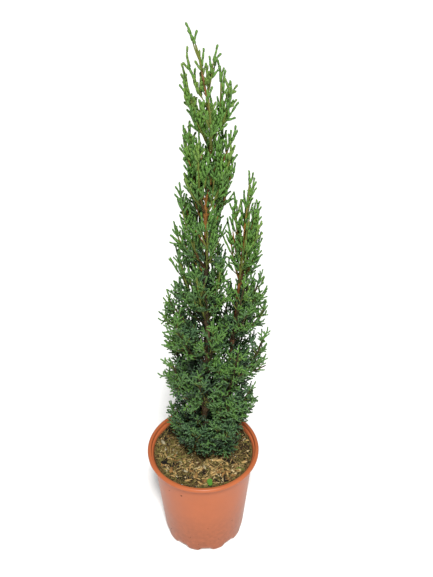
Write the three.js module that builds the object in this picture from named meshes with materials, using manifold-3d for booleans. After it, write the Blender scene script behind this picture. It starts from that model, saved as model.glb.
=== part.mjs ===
// A young Italian cypress with two leaders, growing in a round plastic nursery pot.
// Lengths are millimetres, +Z is up, and the origin is the middle of the pot's flat underside.
// +X is the side of the second leader, and -Y is the front.
import * as THREE from "three";
import { mergeVertices } from "three/addons/utils/BufferGeometryUtils.js";
import Module from "manifold-3d";

const wasm = await Module();
wasm.setup();

// Pot: a thin moulded tub with a broad flange at its mouth and drain notches round its foot.
const POT_HEIGHT = 155;
const RIM_RADIUS = 75;
const RIM_DROP = 5.5;
const RIM_ROUND = 1.6;
const WALL_TOP_RADIUS = 67.5;
const WALL_FOOT_RADIUS = 56;
const WALL = 1.3;
const FLOOR = 2;
const FOOT_ROUND = 7;
const POT_SIDES = 36;
const NOTCHES = 10;
const NOTCH_RADIUS = 6.5;
const NOTCH_RISE = 3.4;
const NOTCH_DEPTH = 16;
const NOTCH_SIDES = 8;
const NOTCH_TURN = (-85 * Math.PI) / 180;

// Soil: it fills the pot to a few millimetres under the rim, and lies a little lower round the trunk.
const SOIL_LEVEL = 148.2;
const SOIL_DISH = 2.7;
const SOIL_LUMP = 1.1;
const SOIL_WAVE = 8;
const SOIL_RINGS = 4;
const FOOT_DISC = 21;

// Gaps left between neighbouring solids.
const SEAT_GAP = 0.3;
const SEAT_SEARCH = 5;
const FOLIAGE_GAP = 0.3;
const SOIL_CLEARANCE = 2;
const WELD = 1e-4;

// Leaders: the trunk, and a second leader that rises beside it from the same root.
// The bends are [sideways, forwards] at even steps of height, from the soil to the woody tip.
const TRUNK_HEIGHT = 505;
const TRUNK_BENDS = [
  [1.5, 0],
  [2.5, 1],
  [5, 2],
  [6.5, 0],
  [7.5, -1],
  [4.2, 1],
  [7.5, 0],
  [6, 1],
  [10, 0],
  [12.3, -1],
  [4.5, -1],
];
const TRUNK_RADIUS = 5.4;
const TRUNK_TIP_RADIUS = 0.9;
const TRUNK_TAPER = 0.8;
const TRUNK_FLARE = 2.7;
const FLARE_HEIGHT = 40;
const TRUNK_SIDES = 9;
const TRUNK_STEPS = 20;
const SECOND_HEIGHT = 370;
const SECOND_BENDS = [
  [13.9, -1.5],
  [23.8, -4],
  [33.5, -4],
  [36, -2],
  [41.5, 0],
  [45.5, 1],
  [50, 1],
];
const SECOND_RADIUS = 3.6;
const SECOND_TIP_RADIUS = 0.8;
const SECOND_TAPER = 0.7;
const SECOND_SIDES = 7;
const SECOND_STEPS = 12;

// Crown: rings of ascending sprays round each leader, at heights above the soil.
// The crown's radius goes from wide to narrow between two heights.
const CROWN_WIDE = 58;
const CROWN_NARROW = 27;
const CROWN_NARROWS_FROM = 150;
const CROWN_NARROWS_TO = 430;
const TRUNK_LEVELS = 7;
const LOWEST_LEVEL = 14;
const HIGHEST_LEVEL = 434;
const MOST_IN_LEVEL = 6;
const FEWEST_IN_LEVEL = 3;
const SKIRT_RISE = 55;
const SKIRT_REACH = 0.82;
const LOW_RISE = 100;
const HIGH_RISE = 62;
const SECOND_WIDE = 43;
const SECOND_NARROW = 14;
const SECOND_NARROWS_FROM = 210;
const SECOND_NARROWS_TO = 380;
const SECOND_LEVELS = 4;
const SECOND_IN_LEVEL = 3;
const SECOND_LOWEST = 36;
const SECOND_HIGHEST = 276;
const SECOND_RISE = 92;
const SECOND_FAN = (72 * Math.PI) / 180;
const SHARED_WEDGE = (26 * Math.PI) / 180;
const SHARED_REACH = 0.7;
const SHARED_TOP = 330;
const FIRST_PLACE = 0.3;
const LEVEL_STAGGER = 0.4;
const AZIMUTH_JITTER = 0.14;
const FOOT_JITTER = 9;
const REACH_JITTER = 0.14;
const STEM_REACH = 0.8;
const STEM_BEND_OUT = 0.7;
const STEM_BEND_UP = 0.36;
const TIP_STEM_LENGTH = 15;
const TOP_SIZE = 0.62;
const CROWN_OVERHANG = 1.15;

// Boughs: the limbs that show bare below their sprays.
const BOUGH_SHARE = 0.38;
const BOUGH_FIRST_LEVEL = 1;
const BOUGH_LAST_LEVEL = 5;
const BOUGH_EVERY = 3;
const BOUGH_PLACE = 2;
const SECOND_BOUGH_PLACE = 1;
const BOUGH_RADIUS = 1.9;
const BOUGH_TIP_RADIUS = 1.2;
const BOUGH_SIDES = 6;
const BOUGH_STEPS = 3;

// Sprays: a stem with side twigs, and toothed blades of scale leaves on the stem and on each twig.
const STEM_RADIUS = 1.3;
const STEM_TIP_RADIUS = 0.8;
const STEM_STEPS = 5;
const STEM_BLADES = 5;
const TWIGS = 2;
const TWIG_SIDES = 3;
const TWIG_RADIUS = 1;
const TWIG_TIP_RADIUS = 0.8;
const TWIG_LENGTH = 24;
const TWIG_FIRST = 0.3;
const TWIG_LAST = 0.6;
const TWIG_BLADES = 2;
const SIDE_SPREAD = (30 * Math.PI) / 180;
const SPREAD_JITTER = (9 * Math.PI) / 180;
const SIDE_TURN = (137.5 * Math.PI) / 180;
const BLADE_FIRST = 0.2;
const BLADE_LAST = 0.84;
const BLADE_LENGTH = 46;
const BLADE_LENGTH_JITTER = 0.14;
const BLADE_HALF_WIDTH = 13;
const BLADE_THICKNESS = 1.2;
const BLADE_RIB = 2.6;
const BLADE_ROOT = 1;
const SHORTEST_BLADE = 0.5;
const BLADE_ROLL_JITTER = 0.6;
const RIDGE = 0.16;
const LOW_TOOTH = 0.52;
const HIGH_TOOTH = 0.74;
const NOTCH_DROP = 0.14;
const SEED = 28;
const LEVEL_SEED = 97;
const SECOND_SEED = 5000;
const TIP_SEED = 9000;

const UP = new THREE.Vector3(0, 0, 1);
const FORWARD = new THREE.Vector3(0, 1, 0);

const PLASTIC = new THREE.MeshStandardMaterial({ color: 0xc8714f, roughness: 0.45, metalness: 0 });
const SOIL = new THREE.MeshStandardMaterial({ color: 0x7a6542, roughness: 0.95, metalness: 0 });
const BARK = new THREE.MeshStandardMaterial({ color: 0x5d4231, roughness: 0.9, metalness: 0 });
const YOUNG_BARK = new THREE.MeshStandardMaterial({ color: 0xa0602e, roughness: 0.8, metalness: 0 });
const FOLIAGE = new THREE.MeshStandardMaterial({ color: 0x4a7744, roughness: 0.75, metalness: 0 });

// Numbers

// A repeatable stream of numbers from 0 to 1.
function randomStream(seed) {
  let state = Math.imul(seed, 2654435761) >>> 0;
  return () => {
    state = (Math.imul(state, 1664525) + 1013904223) >>> 0;
    return state / 4294967296;
  };
}

// A number from -spread to spread.
function jitter(random, spread) {
  return spread * (2 * random() - 1);
}

function between(low, high, share) {
  return low + (high - low) * share;
}

function smoothstep(low, high, value) {
  const share = Math.min(1, Math.max(0, (value - low) / (high - low)));
  return share * share * (3 - 2 * share);
}

// Solids and geometry

function solidFrom(geometry) {
  const bare = geometry.index ? geometry.toNonIndexed() : geometry.clone();
  bare.deleteAttribute("normal");
  bare.deleteAttribute("uv");
  const welded = mergeVertices(bare, WELD);
  return new wasm.Manifold(
    new wasm.Mesh({
      numProp: 3,
      vertProperties: Float32Array.from(welded.attributes.position.array),
      triVerts: Uint32Array.from(welded.index.array),
    }),
  );
}

function geometryFrom(solid) {
  const mesh = solid.getMesh();
  const geometry = new THREE.BufferGeometry();
  geometry.setAttribute("position", new THREE.BufferAttribute(mesh.vertProperties, mesh.numProp));
  geometry.setIndex(new THREE.BufferAttribute(mesh.triVerts, 1));
  geometry.computeVertexNormals();
  return geometry;
}

function namedMesh(name, geometry, material) {
  const mesh = new THREE.Mesh(geometry, material);
  mesh.name = name;
  return mesh;
}

// A tapering limb: a cylinder whose rings are carried along a curve, level or square to the curve.
function limbGeometry(curve, radiusAt, sides, steps, isLevel = false) {
  const limb = new THREE.CylinderGeometry(1, 1, 1, sides, steps);
  const places = limb.attributes.position;
  for (let i = 0; i < places.count; i++) {
    const share = places.getY(i) + 0.5;
    const axis = isLevel ? UP : curve.getTangent(share);
    const side = new THREE.Vector3().crossVectors(FORWARD, axis).normalize();
    const front = new THREE.Vector3().crossVectors(side, axis);
    const radius = radiusAt(share);
    const place = curve
      .getPoint(share)
      .addScaledVector(side, places.getX(i) * radius)
      .addScaledVector(front, places.getZ(i) * radius);
    places.setXYZ(i, place.x, place.y, place.z);
  }
  return limb;
}

// Pot

function potProfile() {
  const outline = new THREE.Path();
  const flangeFoot = POT_HEIGHT - RIM_DROP;
  outline.moveTo(0, 0);
  outline.lineTo(WALL_FOOT_RADIUS - FOOT_ROUND, 0);
  outline.absarc(WALL_FOOT_RADIUS - FOOT_ROUND, FOOT_ROUND, FOOT_ROUND, -Math.PI / 2, 0, false);
  outline.lineTo(WALL_TOP_RADIUS, flangeFoot);
  outline.lineTo(RIM_RADIUS - RIM_ROUND / 2, flangeFoot);
  outline.lineTo(RIM_RADIUS, flangeFoot + RIM_ROUND);
  outline.lineTo(RIM_RADIUS, POT_HEIGHT - RIM_ROUND);
  outline.lineTo(RIM_RADIUS - RIM_ROUND, POT_HEIGHT);
  outline.lineTo(WALL_TOP_RADIUS, POT_HEIGHT);
  outline.lineTo(WALL_TOP_RADIUS - WALL, POT_HEIGHT - WALL);
  outline.lineTo(WALL_FOOT_RADIUS - WALL, FOOT_ROUND);
  outline.lineTo(WALL_FOOT_RADIUS - FOOT_ROUND, FLOOR);
  outline.lineTo(0, FLOOR);
  return outline.getPoints(2);
}

function potSolid() {
  const tub = new THREE.LatheGeometry(potProfile(), POT_SIDES).rotateX(Math.PI / 2);
  const notch = new THREE.CylinderGeometry(NOTCH_RADIUS, NOTCH_RADIUS, NOTCH_DEPTH, NOTCH_SIDES)
    .rotateZ(Math.PI / 2)
    .translate(WALL_FOOT_RADIUS, 0, NOTCH_RISE - NOTCH_RADIUS);
  let pot = solidFrom(tub);
  for (let i = 0; i < NOTCHES; i++) {
    const turned = notch.clone().rotateZ(NOTCH_TURN + (i * 2 * Math.PI) / NOTCHES);
    pot = pot.subtract(solidFrom(turned));
  }
  return pot;
}

// Soil

function potInnerRadius(height) {
  const share = (height - FOOT_ROUND) / (POT_HEIGHT - WALL - FOOT_ROUND);
  return WALL_FOOT_RADIUS - WALL + share * (WALL_TOP_RADIUS - WALL_FOOT_RADIUS);
}

// How far the soil's surface stands above or below its level at the wall, at a place seen from above.
// Under the stems it is a flat disc.
function soilRise(x, y) {
  const outwards = Math.hypot(x, y);
  const slope = smoothstep(FOOT_DISC, potInnerRadius(SOIL_LEVEL), outwards);
  const hollows = Math.sin(x / SOIL_WAVE + 1) * Math.cos(y / SOIL_WAVE);
  const lumps = hollows + Math.sin((x - 2 * y) / (2 * SOIL_WAVE));
  return SOIL_DISH * (slope - 1) + SOIL_LUMP * lumps * smoothstep(FOOT_DISC, 2 * FOOT_DISC, outwards);
}

function soilGeometry() {
  const lowestEdge = SOIL_LEVEL - 2 * SOIL_LUMP;
  const edge = potInnerRadius(lowestEdge) - SEAT_GAP;
  const profile = [
    new THREE.Vector2(0, FLOOR + SEAT_GAP),
    new THREE.Vector2(WALL_FOOT_RADIUS - FOOT_ROUND - SEAT_GAP, FLOOR + SEAT_GAP),
    new THREE.Vector2(WALL_FOOT_RADIUS - WALL - 2 * SEAT_GAP, FOOT_ROUND + SEAT_GAP),
  ];
  for (let ring = 0; ring < SOIL_RINGS; ring++) {
    const radius = between(edge, FOOT_DISC, ring / (SOIL_RINGS - 1));
    profile.push(new THREE.Vector2(radius, SOIL_LEVEL));
  }
  profile.push(new THREE.Vector2(0, SOIL_LEVEL));
  const ball = new THREE.LatheGeometry(profile, POT_SIDES).rotateX(Math.PI / 2);
  const places = ball.attributes.position;
  for (let i = 0; i < places.count; i++) {
    const isTop = places.getZ(i) > SOIL_LEVEL - 1;
    if (isTop) places.setZ(i, SOIL_LEVEL + soilRise(places.getX(i), places.getY(i)));
  }
  return ball;
}

// Leaders

const GROUND = SOIL_LEVEL - SOIL_DISH + SEAT_GAP;

// The bends stand at even steps of height, so a share of this curve is a share of its height.
function leaderCurve(bends, height) {
  const places = bends.map(([sideways, forwards], i) => {
    return new THREE.Vector3(sideways, forwards, GROUND + (height * i) / (bends.length - 1));
  });
  return new THREE.CatmullRomCurve3(places, false, "catmullrom");
}

const trunk = {
  name: "trunk",
  height: TRUNK_HEIGHT,
  curve: leaderCurve(TRUNK_BENDS, TRUNK_HEIGHT),
  radiusAt: (height) => {
    const taper = between(TRUNK_RADIUS, TRUNK_TIP_RADIUS, Math.pow(height / TRUNK_HEIGHT, TRUNK_TAPER));
    return taper + TRUNK_FLARE * (1 - smoothstep(0, FLARE_HEIGHT, height));
  },
  crownAt: (height) => {
    return between(CROWN_WIDE, CROWN_NARROW, smoothstep(CROWN_NARROWS_FROM, CROWN_NARROWS_TO, height));
  },
};

const second = {
  name: "second_leader",
  height: SECOND_HEIGHT,
  curve: leaderCurve(SECOND_BENDS, SECOND_HEIGHT),
  radiusAt: (height) => {
    return between(SECOND_RADIUS, SECOND_TIP_RADIUS, Math.pow(height / SECOND_HEIGHT, SECOND_TAPER));
  },
  crownAt: (height) => {
    return between(SECOND_WIDE, SECOND_NARROW, smoothstep(SECOND_NARROWS_FROM, SECOND_NARROWS_TO, height));
  },
};

function leaderGeometry(leader, sides, steps) {
  const radiusAt = (share) => leader.radiusAt(share * leader.height);
  return limbGeometry(leader.curve, radiusAt, sides, steps, true);
}

// Crown

// A spray's path: out from its leader's bark at one height, bending up to the crown's edge.
function sprayPath(leader, height, azimuth, rise, reach, rootRadius) {
  const out = new THREE.Vector3(Math.cos(azimuth), Math.sin(azimuth), 0);
  const seat = leader.radiusAt(height) + SEAT_GAP + rootRadius;
  const tipRadius = leader.crownAt(height + rise) * STEM_REACH * reach;
  const start = leader.curve.getPoint(height / leader.height).addScaledVector(out, seat);
  const bend = start.clone().addScaledVector(out, STEM_BEND_OUT * (tipRadius - seat));
  bend.z += STEM_BEND_UP * rise;
  const tip = leader.curve.getPoint(Math.min(1, (height + rise) / leader.height));
  tip.addScaledVector(out, tipRadius);
  tip.z = start.z + rise;
  return new THREE.QuadraticBezierCurve3(start, bend, tip);
}

// A stretch of a path, as a path of its own.
function stretch(curve, from, to) {
  const start = curve.getPoint(from);
  const end = curve.getPoint(to);
  const middle = curve.getPoint((from + to) / 2);
  const bend = middle.multiplyScalar(2).addScaledVector(start, -0.5).addScaledVector(end, -0.5);
  return new THREE.QuadraticBezierCurve3(start, bend, end);
}

// The sprays round the trunk, level by level. Beside the second leader they leave a wedge open to it,
// and are shorter the nearer they stand to that wedge.
function trunkSprays() {
  const sprays = [];
  for (let level = 0; level < TRUNK_LEVELS; level++) {
    const up = level / (TRUNK_LEVELS - 1);
    const count = Math.round(between(MOST_IN_LEVEL, FEWEST_IN_LEVEL, up));
    const levelHeight = between(LOWEST_LEVEL, HIGHEST_LEVEL, up);
    const isSkirt = level === 0;
    const rise = isSkirt ? SKIRT_RISE : between(LOW_RISE, HIGH_RISE, up);
    const levelReach = isSkirt ? SKIRT_REACH : 1;
    const isShared = levelHeight < SHARED_TOP;
    const wedge = isShared ? SHARED_WEDGE : 0;
    for (let place = 0; place < count; place++) {
      const random = randomStream(SEED + LEVEL_SEED * level + place);
      const stagger = FIRST_PLACE + LEVEL_STAGGER * (level % 2);
      const turn = (place + stagger + jitter(random, AZIMUTH_JITTER)) / count;
      const azimuth = between(wedge, 2 * Math.PI - wedge, turn);
      const aside = Math.acos(Math.cos(azimuth));
      const nearness = isShared ? between(SHARED_REACH, 1, smoothstep(wedge, Math.PI / 2, aside)) : 1;
      const height = levelHeight + jitter(random, FOOT_JITTER);
      const reach = levelReach * nearness * (1 + jitter(random, REACH_JITTER));
      const isBoughLevel = level >= BOUGH_FIRST_LEVEL && level <= BOUGH_LAST_LEVEL;
      const hasBough = isBoughLevel && place % BOUGH_EVERY === BOUGH_PLACE;
      const rootRadius = hasBough ? BOUGH_RADIUS : STEM_RADIUS;
      sprays.push({
        name: `spray_${level + 1}_${place + 1}`,
        leader: trunk,
        path: sprayPath(trunk, height, azimuth, rise, reach, rootRadius),
        inwards: new THREE.Vector3(-Math.cos(azimuth), -Math.sin(azimuth), 0),
        size: between(1, TOP_SIZE, up),
        hasBough,
        random,
      });
    }
  }
  return sprays;
}

// The sprays of the second leader fan out on the side away from the trunk.
function secondSprays() {
  const sprays = [];
  for (let level = 0; level < SECOND_LEVELS; level++) {
    const up = level / (SECOND_LEVELS - 1);
    const levelHeight = between(SECOND_LOWEST, SECOND_HIGHEST, up);
    for (let place = 0; place < SECOND_IN_LEVEL; place++) {
      const random = randomStream(SEED + SECOND_SEED + LEVEL_SEED * level + place);
      const turn = place / (SECOND_IN_LEVEL - 1) + jitter(random, AZIMUTH_JITTER / 2);
      const azimuth = between(-SECOND_FAN, SECOND_FAN, turn);
      const height = levelHeight + jitter(random, FOOT_JITTER);
      const reach = (level === 0 ? SKIRT_REACH : 1) * (1 + jitter(random, REACH_JITTER));
      const hasBough = level % 2 === 1 && place === SECOND_BOUGH_PLACE;
      const rootRadius = hasBough ? BOUGH_RADIUS : STEM_RADIUS;
      sprays.push({
        name: `second_spray_${level + 1}_${place + 1}`,
        leader: second,
        path: sprayPath(second, height, azimuth, SECOND_RISE, reach, rootRadius),
        inwards: new THREE.Vector3(-Math.cos(azimuth), -Math.sin(azimuth), 0),
        size: between(1, TOP_SIZE, up),
        hasBough,
        random,
      });
    }
  }
  return sprays;
}

// The spray that carries a leader on past its woody tip.
function tipSpray(leader) {
  const along = leader.curve.getTangent(1);
  const start = leader.curve.getPoint(1).addScaledVector(along, 2 * SEAT_GAP);
  const middle = start.clone().addScaledVector(along, TIP_STEM_LENGTH / 2);
  const tip = start.clone().addScaledVector(along, TIP_STEM_LENGTH);
  return {
    name: `${leader.name}_tip_spray`,
    leader,
    path: new THREE.QuadraticBezierCurve3(start, middle, tip),
    inwards: along.negate(),
    size: TOP_SIZE,
    hasBough: false,
    random: randomStream(SEED + TIP_SEED + leader.height),
  };
}

// The foot of a spray's path is moved in until it stands at the seat's gap from the faceted bark.
function seatOnBark(spray, footSolid, leaderSolid) {
  const slack = footSolid.minGap(leaderSolid, SEAT_SEARCH) - SEAT_GAP;
  const { v0, v1, v2 } = spray.path;
  for (const place of [v0, v1, v2]) place.addScaledVector(spray.inwards, slack);
}

// Foliage

// A flat spray of scale leaves along +Y, thickest at its ridge, with a forward tooth on each side.
// It is a double cone whose ring is drawn out to the blade's outline.
function bladeGeometry(size) {
  const length = BLADE_LENGTH * size;
  const halfWidth = BLADE_HALF_WIDTH * size;
  const outline = [
    [0, -BLADE_ROOT],
    [halfWidth, LOW_TOOTH * length],
    [BLADE_RIB, (LOW_TOOTH - NOTCH_DROP) * length],
    [0, length],
    [-BLADE_RIB, (HIGH_TOOTH - NOTCH_DROP) * length],
    [-halfWidth, HIGH_TOOTH * length],
  ];
  const ridge = [0, RIDGE * length];
  const section = [
    new THREE.Vector2(0, -BLADE_THICKNESS / 2),
    new THREE.Vector2(1, 0),
    new THREE.Vector2(0, BLADE_THICKNESS / 2),
  ];
  const blade = new THREE.LatheGeometry(section, outline.length);
  const places = blade.attributes.position;
  for (let i = 0; i < places.count; i++) {
    const corner = Math.floor(i / section.length) % outline.length;
    const [across, along] = i % section.length === 1 ? outline[corner] : ridge;
    places.setXYZ(i, across, along, places.getY(i));
  }
  return blade;
}

// How far out a place lies from its leader, as a share of the crown's radius at that height.
function crownShare(leader, place) {
  const height = THREE.MathUtils.clamp(place.z - GROUND, 0, leader.height);
  const axis = leader.curve.getPoint(height / leader.height);
  return Math.hypot(place.x - axis.x, place.y - axis.y) / leader.crownAt(height);
}

// The share of a blade's length that keeps its tip within the crown's overhang.
function shareInCrown(leader, foot, tip) {
  const footShare = crownShare(leader, foot);
  const tipShare = crownShare(leader, tip);
  if (tipShare < CROWN_OVERHANG) return 1;
  return Math.max(SHORTEST_BLADE, (CROWN_OVERHANG - footShare) / (tipShare - footShare));
}

// A blade that stands on a foot, grows along a direction, and turns one face away from the trunk.
function standingBlade(leader, foot, growth, size, random) {
  const outwards = new THREE.Vector3(foot.x, foot.y, 0).normalize();
  const face = outwards.addScaledVector(growth, -outwards.dot(growth)).normalize();
  face.applyAxisAngle(growth, jitter(random, BLADE_ROLL_JITTER));
  const across = new THREE.Vector3().crossVectors(growth, face);
  const stand = new THREE.Matrix4().makeBasis(across, growth, face).setPosition(foot);
  const freeSize = size * (1 + jitter(random, BLADE_LENGTH_JITTER));
  const tip = foot.clone().addScaledVector(growth, BLADE_LENGTH * freeSize);
  return bladeGeometry(freeSize * shareInCrown(leader, foot, tip)).applyMatrix4(stand);
}

// A direction turned aside from another one, by an angle of spread and an angle round it.
function turnedAside(along, spread, turn) {
  const beside = new THREE.Vector3(-along.y, along.x, 0).normalize().applyAxisAngle(along, turn);
  return along.clone().multiplyScalar(Math.cos(spread)).addScaledVector(beside, Math.sin(spread));
}

// Blades along a stem or twig: the last one in line with its end, the others turned aside all round it.
function bladesAlong(leader, curve, count, size, random) {
  const blades = [];
  const firstTurn = random() * 2 * Math.PI;
  const endShare = 1 - BLADE_ROOT / curve.getLength();
  for (let i = 0; i < count; i++) {
    const isEnd = i === count - 1;
    const share = isEnd ? endShare : between(BLADE_FIRST, BLADE_LAST, i / (count - 1));
    const spread = isEnd ? 0 : SIDE_SPREAD + jitter(random, SPREAD_JITTER);
    const growth = turnedAside(curve.getTangent(share), spread, firstTurn + i * SIDE_TURN);
    blades.push(standingBlade(leader, curve.getPoint(share), growth, size, random));
  }
  return blades;
}

// The side twigs of a stem, each with its own blades.
function sideTwigs({ leader, stem, size, random }) {
  const twigs = [];
  const firstTurn = random() * 2 * Math.PI;
  for (let i = 0; i < TWIGS; i++) {
    const share = between(TWIG_FIRST, TWIG_LAST, i / (TWIGS - 1));
    const spread = SIDE_SPREAD + jitter(random, SPREAD_JITTER);
    const growth = turnedAside(stem.getTangent(share), spread, firstTurn + i * SIDE_TURN);
    const foot = stem.getPoint(share);
    const twig = new THREE.LineCurve3(foot, foot.clone().addScaledVector(growth, TWIG_LENGTH * size));
    const radiusAt = (along) => between(TWIG_RADIUS, TWIG_TIP_RADIUS, along);
    twigs.push({
      wood: limbGeometry(twig, radiusAt, TWIG_SIDES, 1),
      blades: bladesAlong(leader, twig, TWIG_BLADES, size, random),
    });
  }
  return twigs;
}

function isClear(solid, neighbours) {
  const isAboveSoil = solid.boundingBox().min[2] > GROUND + SOIL_CLEARANCE;
  return isAboveSoil && neighbours.every((other) => solid.minGap(other, FOLIAGE_GAP) >= FOLIAGE_GAP);
}

// Twigs and blades are fused to a spray's stem, except what would touch the soil, a neighbour or a blade.
// A twig that is left out takes its blades with it.
function spraySolid(spray, neighbours) {
  const twigs = sideTwigs(spray);
  const blades = [];
  let solid = spray.solid;
  const fuse = (piece) => {
    const isFused = isClear(piece, [...neighbours, ...blades]);
    if (isFused) solid = solid.add(piece);
    return isFused;
  };
  const fuseBlade = (geometry) => {
    const blade = solidFrom(geometry);
    if (fuse(blade)) blades.push(blade);
  };
  for (const twig of twigs) {
    if (fuse(solidFrom(twig.wood))) twig.blades.forEach(fuseBlade);
  }
  const stemBlades = Math.round(STEM_BLADES * spray.size);
  bladesAlong(spray.leader, spray.stem, stemBlades, spray.size, spray.random).forEach(fuseBlade);
  return solid;
}

function boughGeometry(path) {
  const radiusAt = (share) => between(BOUGH_RADIUS, BOUGH_TIP_RADIUS, share);
  return limbGeometry(stretch(path, 0, BOUGH_SHARE), radiusAt, BOUGH_SIDES, BOUGH_STEPS);
}

function stemGeometry(stem) {
  const radiusAt = (share) => between(STEM_RADIUS, STEM_TIP_RADIUS, share);
  return limbGeometry(stem, radiusAt, TWIG_SIDES, STEM_STEPS);
}

// The whole plant: the limbs first, then every spray's stem, then the twigs and blades round them.
function build() {
  const plant = new THREE.Group();
  const limbs = {};
  const addLimb = (name, geometry, material) => {
    limbs[name] = solidFrom(geometry);
    plant.add(namedMesh(name, geometry, material));
  };
  plant.add(namedMesh("pot", geometryFrom(potSolid()), PLASTIC));
  plant.add(namedMesh("soil", soilGeometry(), SOIL));
  addLimb(trunk.name, leaderGeometry(trunk, TRUNK_SIDES, TRUNK_STEPS), BARK);
  addLimb(second.name, leaderGeometry(second, SECOND_SIDES, SECOND_STEPS), YOUNG_BARK);

  const sprays = [...trunkSprays(), ...secondSprays(), tipSpray(trunk), tipSpray(second)];
  for (const spray of sprays) {
    const footGeometry = spray.hasBough ? boughGeometry : stemGeometry;
    seatOnBark(spray, solidFrom(footGeometry(spray.path)), limbs[spray.leader.name]);
    spray.stem = spray.path;
    if (spray.hasBough) {
      addLimb(spray.name.replace("spray", "bough"), boughGeometry(spray.path), YOUNG_BARK);
      spray.stem = stretch(spray.path, BOUGH_SHARE + SEAT_GAP / spray.path.getLength(), 1);
    }
    spray.solid = solidFrom(stemGeometry(spray.stem));
  }
  for (const spray of sprays) {
    const others = sprays.filter((other) => other !== spray).map((other) => other.solid);
    spray.solid = spraySolid(spray, [...Object.values(limbs), ...others]);
    plant.add(namedMesh(spray.name, geometryFrom(spray.solid), FOLIAGE));
  }
  return plant;
}

export default build();
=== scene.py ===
# %% [markdown]
# A potted Italian cypress
#
# A young cypress with two leaders stands in a terracotta-coloured nursery pot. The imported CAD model
# already holds every size: the pot, the soil, the two leaders, the boughs and a solid for each spray
# of foliage. In this lesson we give each of them the surface that the eye expects. We load the model
# first and keep its box, because nothing that we add may reach beyond it.

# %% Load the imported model
import math
from collections import namedtuple

import bmesh
import bpy
import numpy as np
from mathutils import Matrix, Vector, noise


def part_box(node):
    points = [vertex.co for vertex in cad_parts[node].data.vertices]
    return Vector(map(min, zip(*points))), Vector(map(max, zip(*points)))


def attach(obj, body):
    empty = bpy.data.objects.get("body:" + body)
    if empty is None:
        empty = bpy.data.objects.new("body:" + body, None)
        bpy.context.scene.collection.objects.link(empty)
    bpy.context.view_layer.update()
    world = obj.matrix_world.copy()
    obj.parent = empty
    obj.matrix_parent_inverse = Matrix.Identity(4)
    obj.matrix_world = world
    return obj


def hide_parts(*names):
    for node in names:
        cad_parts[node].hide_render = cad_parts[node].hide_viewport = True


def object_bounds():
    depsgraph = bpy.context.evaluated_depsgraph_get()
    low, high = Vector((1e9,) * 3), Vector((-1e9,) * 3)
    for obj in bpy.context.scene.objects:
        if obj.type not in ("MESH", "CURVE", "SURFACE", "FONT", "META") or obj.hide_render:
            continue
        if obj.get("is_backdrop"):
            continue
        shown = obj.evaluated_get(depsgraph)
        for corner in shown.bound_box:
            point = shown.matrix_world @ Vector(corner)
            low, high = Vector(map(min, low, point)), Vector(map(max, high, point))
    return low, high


MM = 0.001
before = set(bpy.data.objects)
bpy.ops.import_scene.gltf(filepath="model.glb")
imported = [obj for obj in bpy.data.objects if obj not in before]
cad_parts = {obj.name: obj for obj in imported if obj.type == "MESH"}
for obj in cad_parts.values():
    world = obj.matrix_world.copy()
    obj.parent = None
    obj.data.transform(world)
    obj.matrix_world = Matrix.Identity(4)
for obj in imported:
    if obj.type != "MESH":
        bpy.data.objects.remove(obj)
cad_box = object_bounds()
print("CAD nodes:", len(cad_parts), "top at", round(cad_box[1].z / MM), "mm")

# %% [markdown]
# The camera
#
# The photograph was taken from in front and from a little above the tree's tip. The pot's rim, seen as
# an ellipse, gives the pitch, and the pot's taper gives the distance. The focal length in pixels is
# turned into millimetres on the sensor's long side, which is the picture's height.

# %% Camera at the photograph's angle
PHOTO_HEIGHT_PX = 577
FOCAL_PX = 650
SENSOR_MM = 36
CAMERA_PLACE = Vector((38.1, -610, 817)) * MM
CAMERA_PITCH = math.radians(33.7)
CAMERA_TURN = math.radians(1.9)

lens = bpy.data.cameras.new("camera")
lens.sensor_width = SENSOR_MM
lens.lens = FOCAL_PX * SENSOR_MM / PHOTO_HEIGHT_PX
camera = bpy.data.objects.new("camera", lens)
camera.location = CAMERA_PLACE
camera.rotation_euler = (math.pi / 2 - CAMERA_PITCH, 0, CAMERA_TURN)
bpy.context.scene.collection.objects.link(camera)
bpy.context.scene.camera = camera
print("lens:", round(lens.lens, 2), "mm")

# %% [markdown]
# Colours, nodes and pieces
#
# Paint colours are easiest to pick as sRGB hex values, but shaders count in linear light, so one
# function converts them. A second function adds a shader node with its settings and links, and a third
# starts a material. Patterns read Object coordinates, which are metres here, so a pattern's scale is
# one over its real size. The last helper hands a finished piece to the frame.

# %% Helpers for materials
def linear_colour(hex_text):
    """An sRGB hex value as linear red, green and blue, with alpha."""
    channels = [int(hex_text[i:i + 2], 16) / 255 for i in (1, 3, 5)]
    return [c / 12.92 if c <= 0.04045 else ((c + 0.055) / 1.055) ** 2.4 for c in channels] + [1.0]


def add_node(tree, kind, inputs=None, **settings):
    """Adds a node. The inputs are values, or other nodes' sockets to link from."""
    node = tree.nodes.new(kind)
    for name, value in settings.items():
        setattr(node, name, value)
    for key, value in (inputs or {}).items():
        if isinstance(value, bpy.types.NodeSocket):
            tree.links.new(value, node.inputs[key])
        else:
            node.inputs[key].default_value = value
    return node


def new_material(name, roughness, ior=1.5):
    """A material with one Principled shader. Returns it with its tree, its shader and its coordinates."""
    material = bpy.data.materials.new(name)
    material.use_nodes = True
    tree = material.node_tree
    shader = tree.nodes["Principled BSDF"]
    shader.inputs["Roughness"].default_value = roughness
    shader.inputs["IOR"].default_value = ior
    place = add_node(tree, "ShaderNodeTexCoord").outputs["Object"]
    return material, tree, shader, place


def per_metre(size_mm):
    """The scale of a pattern whose features are this large."""
    return 1 / (size_mm * MM)


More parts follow.
